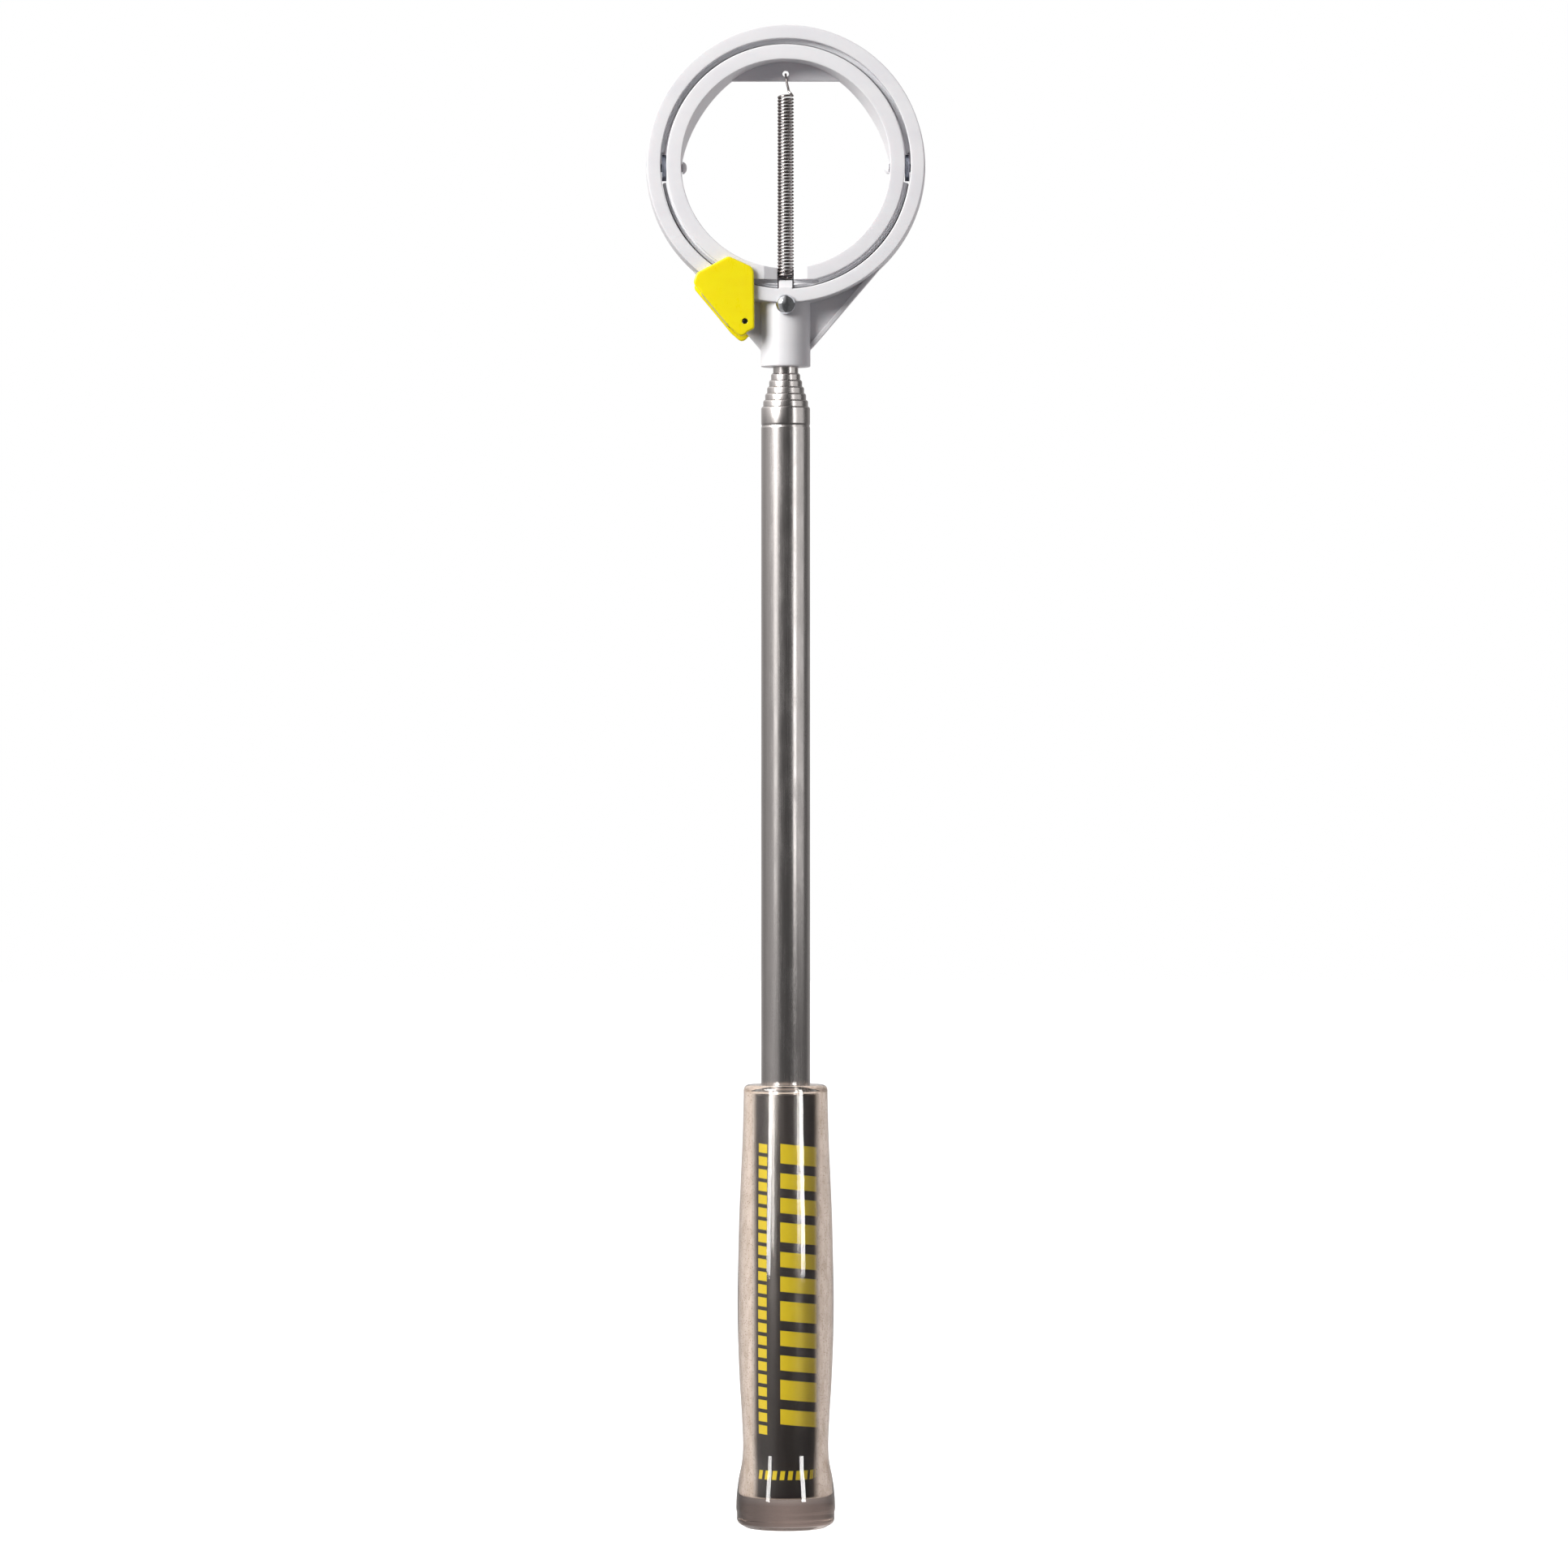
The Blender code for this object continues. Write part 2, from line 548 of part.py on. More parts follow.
def build_fasteners(steel, chrome, view, pivot):
    """Head rivet, the two ring pins, the spacers in the gap and the latch pin."""
    rivet = dome(RIVET_RADIUS, RIVET_LENGTH, RIVET_HEAD_RADIUS, RIVET_HEAD_HEIGHT)
    solid("head_rivet", rivet, chrome, (0.0, RIVET_HEIGHT, FRONT + CLEARANCE), view)
    for side, word in ((-1, "left"), (1, "right")):
        inward = Matrix.Rotation(-side * math.pi / 2, 3, "Y")
        pin = dome(PIN_RADIUS, PIN_END - PIN_HEAD_SEAT, PIN_HEAD_RADIUS, PIN_HEAD_HEIGHT)
        seat = (side * PIN_HEAD_SEAT, 0.0, 0.0)
        solid(f"ring_pin_{word}", stretch(pin, inward), steel, seat, pivot)
        inside = PIN_RADIUS + CLEARANCE
        washer = turned([(inside, WASHER_FROM), (WASHER_RADIUS, WASHER_FROM),
                         (WASHER_RADIUS, WASHER_TO), (inside, WASHER_TO)], 20)
        outward = Matrix.Rotation(side * math.pi / 2, 3, "Y")
        solid(f"pivot_washer_{word}", stretch(washer, outward), steel, parent=pivot)
    pin = rod(LATCH_PIN_RADIUS, LATCH_REAR - LATCH_CHEEK + EDGE,
              FRONT + LATCH_FRONT_GAP + LATCH_CHEEK - EDGE, 12)
    solid("latch_pin", pin, steel, (*LATCH_PIVOT, 0.0), view)


def build_latch(yellow, pivot):
    """Two cheeks either side of the frame, joined by a bridge outside the web's edge."""
    back = (-LATCH_PIVOT.x, -LATCH_PIVOT.y, 0.0)
    outline = [(x * MM, y * MM) for x, y in LATCH_OUTLINE]
    front = FRONT + LATCH_FRONT_GAP
    rear_cheek = plate(outline, LATCH_REAR - LATCH_CHEEK, LATCH_REAR)
    latch = solid("latch", rear_cheek, yellow, back, pivot)
    relief = rod(LATCH_REAR_RADIUS, LATCH_REAR - 2 * LATCH_CHEEK, LATCH_REAR + EDGE,
                 RING_SEGMENTS)
    join(latch, "DIFFERENCE", "latch_ring_relief", relief, back, pivot)
    low, high = Vector(outline[4]), Vector(outline[3])
    along = (high - low).normalized()
    foot = low - along * low.dot(along)
    inner = foot * (LATCH_BRIDGE_INNER / foot.length)
    outer = foot * (LATCH_BRIDGE_OUTER / foot.length)
    start = LATCH_PIVOT.dot(along) + LATCH_BRIDGE_FROM
    end = LATCH_PIVOT.dot(along) + LATCH_BRIDGE_TO
    bridge = plate([inner + along * start, outer + along * start, outer + along * end,
                    inner + along * end], LATCH_REAR - LATCH_CHEEK, front + LATCH_CHEEK)
    join(latch, "UNION", "latch_bridge", bridge, back, pivot)
    join(latch, "UNION", "latch_front_cheek", plate(outline, front, front + LATCH_CHEEK),
         back, pivot)
    hole = rod(LATCH_HOLE_RADIUS, LATCH_REAR - 2 * LATCH_CHEEK, front + 2 * LATCH_CHEEK, 12)
    join(latch, "DIFFERENCE", "latch_hole", hole, parent=pivot)


def spring_path():
    """Hook in the stub, the coils, then the hook through the ring's plate."""
    bottom, top = SPRING_BOTTOM, SPRING_TOP
    along = (top - bottom).normalized()
    side = Vector((1.0, 0.0, 0.0))
    other = along.cross(side)
    points = [Vector((0.0, ANCHOR_HOLE_BOTTOM + HOOK_BEND, ANCHOR_DEPTH)),
              Vector((0.0, STUB_TOP + CLEARANCE, ANCHOR_DEPTH)),
              Vector((FOOT_TURN.x, bottom.y + FOOT_TURN.y, ANCHOR_DEPTH))]
    steps = SPRING_TURNS * SPRING_STEPS_PER_TURN
    for i in range(steps + 1):
        angle = math.tau * i / SPRING_STEPS_PER_TURN
        centre = bottom + (top - bottom) * (i / steps)
        points.append(centre + SPRING_MEAN_RADIUS * (side * math.cos(angle)
                                                     + other * math.sin(angle)))
    points += [Vector((HOOK_TURN.x, top.y + HOOK_TURN.y, top.z)),
               Vector((HOOK_LEAD.x, top.y + HOOK_LEAD.y, HOOK_FRONT)),
               Vector((0.0, HOOK_HOLE.y - HOOK_BEND, HOOK_FRONT)),
               Vector((0.0, HOOK_HOLE.y, HOOK_FRONT - HOOK_BEND)),
               Vector((0.0, HOOK_HOLE.y, HOOK_REAR))]
    return points


def build_spring(steel, anchor):
    curve = bpy.data.curves.new("ring_spring", "CURVE")
    curve.dimensions = "3D"
    curve.bevel_depth = SPRING_WIRE_RADIUS
    curve.bevel_resolution = 0
    curve.use_fill_caps = True
    spline = curve.splines.new("POLY")
    path = spring_path()
    spline.points.add(len(path) - 1)
    for point, place in zip(spline.points, path):
        point.co = (*(place - anchor.location), 1.0)
    curve.materials.append(steel)
    obj = bpy.data.objects.new("ring_spring", curve)
    bpy.context.scene.collection.objects.link(obj)
    obj.parent = anchor


def build():
    clear_scene()
    steel = finish("stainless", (0.62, 0.62, 0.63), 0.25, 1.0)
    bright = finish("chrome", (0.8, 0.8, 0.82), 0.08, 1.0)
    clear = finish("clear_plastic", (0.8, 0.76, 0.7), 0.1)
    black = finish("black_label", (0.03, 0.028, 0.03), 0.4)
    white = finish("white_plastic", (0.86, 0.86, 0.87), 0.4)
    yellow = finish("yellow_plastic", (0.93, 0.8, 0.02), 0.3)
    nylon = finish("nylon", (0.75, 0.75, 0.7), 0.5)
    zinc = finish("zinc_steel", (0.55, 0.58, 0.66), 0.35, 1.0)

    stages = [empty(f"stage_{i + 1}", (0.0, 0.0, tube_bottom(i))) for i in range(TUBE_COUNT)]
    view = empty("head_view", RING_CENTRE, rotation=(math.pi / 2, 0.0, 0.0))
    ring_pivot = empty("ring_pivot", (0.0, -PIVOT_DROP, PIVOT_DEPTH), view)
    latch_pivot = empty("latch_pivot", (*LATCH_PIVOT, 0.0), view)
    spring_anchor = empty("spring_anchor", (0.0, STUB_TOP, ANCHOR_DEPTH), view)

    build_grip(clear, None)
    build_sleeve(black, None)
    for index in range(TUBE_COUNT):
        build_tube(index, steel, stages)
        if index > 0:
            build_bush(index, nylon, stages)
    build_plugs(nylon, stages)
    build_frame(white, view)
    build_inner_ring(white, ring_pivot)
    build_fasteners(zinc, bright, view, ring_pivot)
    build_latch(yellow, latch_pivot)
    build_spring(steel, spring_anchor)


build()
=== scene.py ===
"""Looks of the telescopic golf ball retriever: fine meshes, procedural materials and studio.

World frame: metres, +Z up the shaft, the head's front faces -Y. Outlines are in millimetres.
Head pieces are drawn as the front shows them, x right, y up, z towards the front, from the
centre of the rings, and HEAD turns that drawing upright.
"""
import json
import math

import bmesh
import bpy
from mathutils import Matrix, Vector

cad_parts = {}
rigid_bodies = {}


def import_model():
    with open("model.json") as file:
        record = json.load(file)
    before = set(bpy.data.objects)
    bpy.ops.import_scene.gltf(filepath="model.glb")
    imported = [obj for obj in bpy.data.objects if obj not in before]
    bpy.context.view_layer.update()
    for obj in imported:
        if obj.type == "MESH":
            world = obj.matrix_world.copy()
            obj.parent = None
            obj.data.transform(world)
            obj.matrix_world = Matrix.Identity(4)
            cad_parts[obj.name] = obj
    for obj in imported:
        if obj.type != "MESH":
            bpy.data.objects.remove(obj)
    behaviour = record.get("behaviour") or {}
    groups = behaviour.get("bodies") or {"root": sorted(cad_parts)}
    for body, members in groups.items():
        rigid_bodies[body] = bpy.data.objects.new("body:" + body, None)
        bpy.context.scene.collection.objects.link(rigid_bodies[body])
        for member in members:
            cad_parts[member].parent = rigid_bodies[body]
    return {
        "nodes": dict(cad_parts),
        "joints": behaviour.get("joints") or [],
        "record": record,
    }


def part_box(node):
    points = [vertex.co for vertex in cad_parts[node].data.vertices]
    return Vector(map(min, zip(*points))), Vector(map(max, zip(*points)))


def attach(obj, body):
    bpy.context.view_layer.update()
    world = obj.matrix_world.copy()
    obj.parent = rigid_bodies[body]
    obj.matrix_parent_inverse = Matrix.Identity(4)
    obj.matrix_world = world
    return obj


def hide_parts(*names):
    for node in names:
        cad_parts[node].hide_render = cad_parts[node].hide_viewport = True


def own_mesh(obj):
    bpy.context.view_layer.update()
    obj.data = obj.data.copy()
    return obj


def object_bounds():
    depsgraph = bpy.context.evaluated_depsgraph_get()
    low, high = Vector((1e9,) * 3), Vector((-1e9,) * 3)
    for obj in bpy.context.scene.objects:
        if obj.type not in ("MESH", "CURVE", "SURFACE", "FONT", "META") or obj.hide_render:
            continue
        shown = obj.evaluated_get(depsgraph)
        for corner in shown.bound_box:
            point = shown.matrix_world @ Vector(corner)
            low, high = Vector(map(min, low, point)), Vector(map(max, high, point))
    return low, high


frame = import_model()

MM = 0.001
CAD_LOW, CAD_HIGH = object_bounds()


def box_mm(node):
    """Lowest and highest corner of a CAD node, in millimetres."""
    low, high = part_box(node)
    return low / MM, high / MM


# Head dimensions that come from the frame
FRAME_LOW, FRAME_HIGH = box_mm("head_frame")
RING_HIGH = box_mm("inner_ring")[1]
LATCH_LOW, LATCH_HIGH = box_mm("latch")
FRAME_OUT_REAR = FRAME_HIGH.x
CENTRE_Z = FRAME_HIGH.z - FRAME_OUT_REAR
FRONT = -FRAME_LOW.y
LEDGE_REAR = -FRAME_HIGH.y
RING_REAR = -RING_HIGH.y
RING_WALL_OUT = RING_HIGH.z - CENTRE_Z
SOCKET_BOTTOM = FRAME_LOW.z - CENTRE_Z
LATCH_FRONT = -LATCH_LOW.y
LATCH_REAR = -LATCH_HIGH.y
HEAD = Matrix.Translation((0, 0, CENTRE_Z * MM)) @ Matrix.Rotation(math.pi / 2, 4, "X")
JOINT_AT = {j["name"]: Vector(j.get("pos_m", (0, 0, 0))) / MM for j in frame["joints"]}
PIVOT_DEPTH = -JOINT_AT["ring_flip"].y
PIVOT_Y = JOINT_AT["ring_flip"].z - CENTRE_Z
LATCH_PIVOT = Vector((JOINT_AT["latch_swing"].x, JOINT_AT["latch_swing"].z - CENTRE_Z))
SPRING_FOOT = Vector((0, JOINT_AT["spring_follow"].z - CENTRE_Z, -JOINT_AT["spring_follow"].y))

# Ring sections, as radius and depth; a _START is the angle from the pivots where a step begins
EDGE = 0.24
LIP_EDGE = 0.12
REAR_EDGE = 0.3
FRAME_WALL_IN = 36.3
FRAME_DRAFT = 0.5
RIM_INSET = 0.4
RING_WALL_IN = 30.3
REAR_BULGE = 2.2
RING_SEGMENTS = 192
STEP_SPREAD = math.radians(0.05)
COVER_IN = 34.75
COVER_START = math.radians(0.8)
STOP_IN = 34.2
STOP_START = math.radians(11)
LIP_THICKNESS = 0.65
SHELF_IN = 35.25
SHELF_LIP_IN = 35.05
SHELF_LIP_REAR = 3.8
SHELF_FRONT = 4.6
SHELF_CHAMFER = 0.25
SHELF_START = math.radians(5.3)
COLLAR_OUT = 36.15
COLLAR_REAR = 1.2
COLLAR_FRONT = 2.4
FLANGE_OUT = 35.95
FLANGE_FRONT = 5.2
STEP_OUT = 35.2
STEP_FRONT = 6.6
FLANGE_START = math.radians(8.8)

# Spring plate, slot, ramps and flat of the flip ring
PLATE_BOTTOM = 24.7
PLATE_OUT = 32.8
PLATE_DEPTH = 2.0
PLATE_SINK = 0.05
HOOK_HOLE_Y = 26.9
HOOK_HOLE_RADIUS = 0.95
SLOT_HALF = 2.35
SLOT_REAR = 1.6
RAMP_HALF = 6.3
RAMP_DEPTH = 1.5
FLAT_TOP = -33.5
FLAT_LOW = -34.65
FLAT_REAR = 4.6
FLAT_HALF = 9.5
PIVOT_BORE = 1.45
RING_PIVOT_REACH = 36.3
FRAME_PIVOT_REACH = 42

# Socket, webs, stub and bosses
SOCKET_RADIUS = 7.2
SOCKET_TOP = -37.6
SOCKET_BORE = 3.9
SOCKET_CEILING = 0.5
RING_OVERLAP = 1.2
WEB_FOOT = Vector((SOCKET_RADIUS, -53.6))
WEB_FRONT = 0.0
WEB_REAR = -4.0
WEB_INSET = 0.05
WEB_RIM_FRONT = 1.1
WEB_RIM_REAR = 0.4
WEB_RIM_WIDTH = 1.3
WEB_RIM_OUT = 0.07
WEB_RIM_START = 0.9
WEB_RIM_END = 1.3
STUB_HALF = 1.95
STUB_TOP = -33.75
STUB_REAR = 2.4
STUB_BEVEL = 2.2
HOOK_BORE = 0.75
HOOK_BORE_BOTTOM = -36.5
RIVET_Y = -40.8
RIVET_BORE = 1.5
RIVET_BORE_REAR = 0.5
RIVET_BOSS = 2.6
RIVET_BOSS_DROP = 0.35
LATCH_BOSS = 2.25
LATCH_BOSS_REAR = 0.6
OVERSHOOT = 1

# Latch, seen from the front, around the centre of the rings
LATCH_CORNERS = (
    (-16.6, -26.9, 1.6), (-25.8, -31.8, 1.9), (-26.8, -34.7, 1.6), (-15.9, -47.8, 1.2),
    (-12.6, -50.7, 1.6), (-11.0, -48.9, 0.5), (-9.0, -47.9, 1.0), (-9.2, -30.3, 2.6),
)
CHEEK = 1.5
REAR_CHEEK_DROP = 0.7
LATCH_HOLE = 0.85
LATCH_RELIEF = 36.6
LATCH_RELIEF_FRONT = 0.4
BRIDGE_IN = 41.1
BRIDGE_OUT = 42.8
BRIDGE_START = 2.4
BRIDGE_END = 14.8


# --- Mesh code ---

WELD = 1e-5
HOOP_WELD = 1e-4
LEAN_LIMIT = 0.5
PIECE_SHARP = 40
CARVED_SHARP = 30
WIRE_SHARP = 50
WIRE_RESOLUTION = 3


def rounded(corners, steps):
    """Closed outline from (x, y, radius) corners; each corner becomes an arc."""
    points = []
    count = len(corners)
    for index, (x, y, radius) in enumerate(corners):
        corner = Vector((x, y))
        before = (Vector(corners[index - 1][:2]) - corner).normalized()
        after = (Vector(corners[(index + 1) % count][:2]) - corner).normalized()
        if radius == 0:
            points.append(corner)
            continue
        half = before.angle(after) / 2
        centre = corner + (before + after).normalized() * radius / math.sin(half)
        first = corner + before * radius / math.tan(half) - centre
        turn = first.angle_signed(corner + after * radius / math.tan(half) - centre)
        for step in range(steps + 1):
            angle = -turn * step / steps
            points.append(centre + Matrix.Rotation(angle, 2) @ first)
    return points


def arc(radius, start, end, steps):
    """Points on a circle about the origin, both ends included."""
    angles = [start + (end - start) * i / steps for i in range(steps + 1)]
    return [Vector((radius * math.cos(angle), radius * math.sin(angle))) for angle in angles]


def turned(profile, segments):
    """Spin a closed (radius, height) outline about Z; ends that lie on the axis stay open."""
    bm = bmesh.new()
    verts = [bm.verts.new((point[0], 0, point[1])) for point in profile]
    for first, second in zip(verts, verts[1:]):
        bm.edges.new((first, second))
    if profile[0][0] > 0 or profile[-1][0] > 0:
        bm.edges.new((verts[-1], verts[0]))
    bmesh.ops.spin(bm, geom=bm.verts[:] + bm.edges[:], axis=(0, 0, 1), angle=math.tau,
                   steps=segments, use_merge=True)
    bmesh.ops.remove_doubles(bm, verts=bm.verts, dist=WELD)
    return bm


def inset(outline, distance):
    """The outline moved inwards along its corner normals."""
    area = sum(a.cross(b) for a, b in zip(outline, outline[1:] + outline[:1]))
    side = 1 if area > 0 else -1
    moved = []
    for index, point in enumerate(outline):
        back = (point - outline[index - 1]).normalized()
        ahead = (outline[(index + 1) % len(outline)] - point).normalized()
        normal = (Vector((-back.y, back.x)) + Vector((-ahead.y, ahead.x))).normalized()
        lean = max(LEAN_LIMIT, normal.dot(Vector((-back.y, back.x))))
        moved.append(point + normal * side * distance / lean)
    return moved


def slab(outline, low, high, edge=0.0, steps=3):
    """Plate from z = low to z = high with rounded rims."""
    bm = bmesh.new()
    turns = [math.pi / 2 * i / steps for i in range(steps + 1)] if edge else [math.pi / 2]
    levels = [(edge * (1 - math.sin(t)), low + edge * (1 - math.cos(t))) for t in turns]
    levels += [(step, high + low - height) for step, height in reversed(levels)]
    rings = [[bm.verts.new((*point, height)) for point in inset(outline, step)]
             for step, height in levels]
    for lower, upper in zip(rings, rings[1:]):
        for i in range(len(lower)):
            j = (i + 1) % len(lower)
            bm.faces.new((lower[i], lower[j], upper[j], upper[i]))
    bm.faces.new(list(reversed(rings[0])))
    bm.faces.new(rings[-1])
    return bm


def rod(radius, low, high, edge=0.0, segments=64, axis="Z"):
    """Turned pin from low to high along one axis, with rounded rims."""
    rim = [(radius, low, edge), (radius, high, edge)]
    outline = rounded([(0, low, 0), *rim, (0, high, 0)], 3)
    bm = turned(outline, segments)
    if axis == "Y":
        return rotated(bm, -math.pi / 2, "X")
    return rotated(bm, math.pi / 2, "Y") if axis == "X" else bm


def rotated(bm, angle, axis):
    bmesh.ops.rotate(bm, verts=bm.verts, matrix=Matrix.Rotation(angle, 3, axis))
    return bm


def shifted(bm, x=0.0, y=0.0, z=0.0):
    bmesh.ops.translate(bm, verts=bm.verts, vec=(x, y, z))
    return bm


def together(first, *others):
    """Several separate bodies as one bmesh."""
    for other in others:
        mesh = bpy.data.meshes.new("joined")
        other.to_mesh(mesh)
        other.free()
        first.from_mesh(mesh)
        bpy.data.meshes.remove(mesh)
    return first


def linked(name, data):
    """A new object in the scene."""
    obj = bpy.data.objects.new(name, data)
    bpy.context.scene.collection.objects.link(obj)
    return obj


def piece(name, bm, matrix=Matrix.Identity(4)):
    """A bmesh in millimetres becomes a smooth-shaded object in the row frame."""
    bmesh.ops.recalc_face_normals(bm, faces=bm.faces)
    bmesh.ops.transform(bm, matrix=matrix @ Matrix.Scale(MM, 4), verts=bm.verts)
    mesh = bpy.data.meshes.new(name)
    bm.to_mesh(mesh)
    bm.free()
    obj = linked(name, mesh)
    smooth(obj, PIECE_SHARP)
    return obj


def smooth(obj, angle):
    obj.data.shade_smooth()
    obj.data.set_sharp_from_angle(angle=math.radians(angle))


def carve(obj, steps, matrix=HEAD):
    """Apply (operation, bmesh) Boolean steps in turn and keep only the finished mesh."""
    tools = []
    for number, (operation, bm) in enumerate(steps):
        tool = piece(f"tool_{number}", bm, matrix)
        boolean = obj.modifiers.new(tool.name, "BOOLEAN")
        boolean.operation = operation
        boolean.solver = "EXACT"
        boolean.object = tool
        tools.append(tool)
    depsgraph = bpy.context.evaluated_depsgraph_get()
    finished = bpy.data.meshes.new_from_object(obj.evaluated_get(depsgraph))
    obj.modifiers.clear()
    obj.data = finished
    for tool in tools:
        bpy.data.objects.remove(tool, do_unlink=True)
    smooth(obj, CARVED_SHARP)
    weigh = obj.modifiers.new("weighted_normals", "WEIGHTED_NORMAL")
    weigh.keep_sharp = True


def wire(name, path, radius):
    """Round wire of the head along a list of points."""
    curve = bpy.data.curves.new(name, "CURVE")
    curve.dimensions = "3D"
    curve.bevel_depth = radius * MM
    curve.bevel_resolution = WIRE_RESOLUTION
    curve.use_fill_caps = True
    spline = curve.splines.new("POLY")
    spline.points.add(len(path) - 1)
    for point, place in zip(spline.points, path):
        point.co = (*(HEAD @ (place * MM)), 1)
    obj = linked(name, curve)
    depsgraph = bpy.context.evaluated_depsgraph_get()
    mesh = bpy.data.meshes.new_from_object(obj.evaluated_get(depsgraph))
    bpy.data.objects.remove(obj, do_unlink=True)
    obj = linked(name, mesh)
    smooth(obj, WIRE_SHARP)
    return obj


# --- Materials ---

class Nodes:
    """Short calls for building a node tree."""

    def __init__(self, tree):
        self.tree = tree

    def node(self, kind, **values):
        node = self.tree.nodes.new(kind)
        for key, value in values.items():
            setattr(node, key, value)
        return node

    def feed(self, source, target):
        self.tree.links.new(source, target)

    def put(self, value, target):
        """A value, or a link when the value is a socket."""
        if isinstance(value, bpy.types.NodeSocket):
            self.feed(value, target)
        else:
            target.default_value = value

    def math(self, operation, *values):
        node = self.node("ShaderNodeMath", operation=operation)
        for value, socket in zip(values, node.inputs):
            self.put(value, socket)
        return node.outputs["Value"]

    def mix_shaders(self, factor, first, second):
        mix = self.node("ShaderNodeMixShader")
        for source, socket in zip((factor, first, second), mix.inputs):
            self.feed(source, socket)
        return mix.outputs["Shader"]


class Finish(Nodes):
    """A Principled material with short calls for the nodes that feed it."""

    def __init__(self, name, colour, roughness, metallic=0.0):
        self.material = bpy.data.materials.new(name)
        self.material.use_nodes = True
        super().__init__(self.material.node_tree)
        self.shader = self.tree.nodes["Principled BSDF"]
        self.output = self.tree.nodes["Material Output"]
        self.set("Base Color", (*colour, 1))
        self.set("Roughness", roughness)
        self.set("Metallic", metallic)
        self.place = self.node("ShaderNodeTexCoord").outputs["Object"]

    def set(self, socket, value):
        self.put(value, self.shader.inputs[socket])

    def stretched(self, scale):
        """Object coordinates scaled per axis, in repeats per millimetre."""
        mapping = self.node("ShaderNodeMapping")
        mapping.inputs["Scale"].default_value = [value / MM for value in scale]
        self.feed(self.place, mapping.inputs["Vector"])
        return mapping.outputs["Vector"]

    def noise(self, scale, detail, roughness=0.55):
        noise = self.node("ShaderNodeTexNoise")
        noise.inputs["Scale"].default_value = 1.0
        noise.inputs["Detail"].default_value = detail
        noise.inputs["Roughness"].default_value = roughness
        self.feed(self.stretched(scale), noise.inputs["Vector"])
        return noise.outputs["Fac"]

    def remap(self, source, low, high, to_low, to_high):
        remap = self.node("ShaderNodeMapRange")
        for name, value in (("From Min", low), ("From Max", high), ("To Min", to_low),
                            ("To Max", to_high), ("Value", source)):
            self.put(value, remap.inputs[name])
        return remap.outputs["Result"]

    def blend(self, source, first, second):
        """Goes from first to second, each a colour or a socket, as source goes from 0 to 1."""
        mix = self.node("ShaderNodeMix", data_type="RGBA")
        self.feed(source, mix.inputs["Factor"])
        for value, name in ((first, "A"), (second, "B")):
            self.put((*value, 1) if isinstance(value, tuple) else value, mix.inputs[name])
        return mix.outputs["Result"]

    def colours(self, source, first, second):
        """Base colour that goes from first to second by source."""
        self.set("Base Color", self.blend(source, first, second))

    def bump(self, height, depth_mm, strength, normal=None):
        bump = self.node("ShaderNodeBump")
        bump.inputs["Strength"].default_value = strength
        bump.inputs["Distance"].default_value = depth_mm * MM
        self.feed(height, bump.inputs["Height"])
        if normal is not None:
            self.feed(normal, bump.inputs["Normal"])
        self.set("Normal", bump.outputs["Normal"])

    def paint_crevice_shade(self, reach_mm, dark):
        """Painted shade: darkens the base colour where other surfaces lie close by."""
        base = self.shader.inputs["Base Color"]
        crevice_shade_ao = self.node("ShaderNodeAmbientOcclusion", samples=8)
        crevice_shade_ao.inputs["Distance"].default_value = reach_mm * MM
        shown = self.remap(crevice_shade_ao.outputs["AO"], 0.25, 0.8, 0, 1)
        self.feed(self.blend(shown, dark, base.links[0].from_socket), base)

    def soft_edges(self, radius_mm):
        """Rounds the shading of edges where two shapes meet."""
        bevel = self.node("ShaderNodeBevel", samples=4)
        bevel.inputs["Radius"].default_value = radius_mm * MM
        return bevel.outputs["Normal"]


def moulded(name, colour, shade, roughness):
    """Satin moulded plastic: fine mould grain, faint flow marks and a few scuffs."""
    finish = Finish(name, colour, roughness)
    flow = finish.noise((0.05, 0.05, 0.12), 4)
    finish.colours(finish.remap(flow, 0.35, 0.65, 0, 1), colour, shade)
    wear = finish.noise((0.9, 0.9, 0.25), 5, 0.7)
    finish.set("Roughness", finish.remap(wear, 0.3, 0.75, roughness - 0.06, roughness + 0.1))
    grain = finish.noise((5.5, 5.5, 5.5), 2)
    finish.bump(grain, 0.012, 0.55, finish.soft_edges(0.18))
    finish.set("Subsurface Weight", 0.45)
    finish.set("Subsurface Radius", (0.9, 0.8, 0.8))
    finish.set("Subsurface Scale", 0.002)
    return finish


def brushed(name, colour, roughness):
    """Drawn steel tube: fine lines along the shaft and a cloudy polish."""
    finish = Finish(name, colour, roughness, 1.0)
    lines = finish.noise((9.0, 9.0, 0.06), 3, 0.6)
    cloud = finish.noise((0.25, 0.25, 0.09), 4, 0.6)
    dark = tuple(0.82 * value for value in colour)
    finish.colours(finish.remap(cloud, 0.35, 0.7, 0, 1), colour, dark)
    mixed = finish.math("ADD", finish.math("MULTIPLY", lines, 0.5),
                        finish.math("MULTIPLY", cloud, 0.5))
    finish.set("Roughness", finish.remap(mixed, 0.35, 0.65, roughness - 0.07, roughness + 0.09))
    finish.bump(lines, 0.004, 0.5)
    finish.set("Anisotropic", 0.35)
    tangent = finish.node("ShaderNodeTangent", direction_type="RADIAL", axis="Z")
    finish.set("Tangent", tangent.outputs["Tangent"])
    return finish


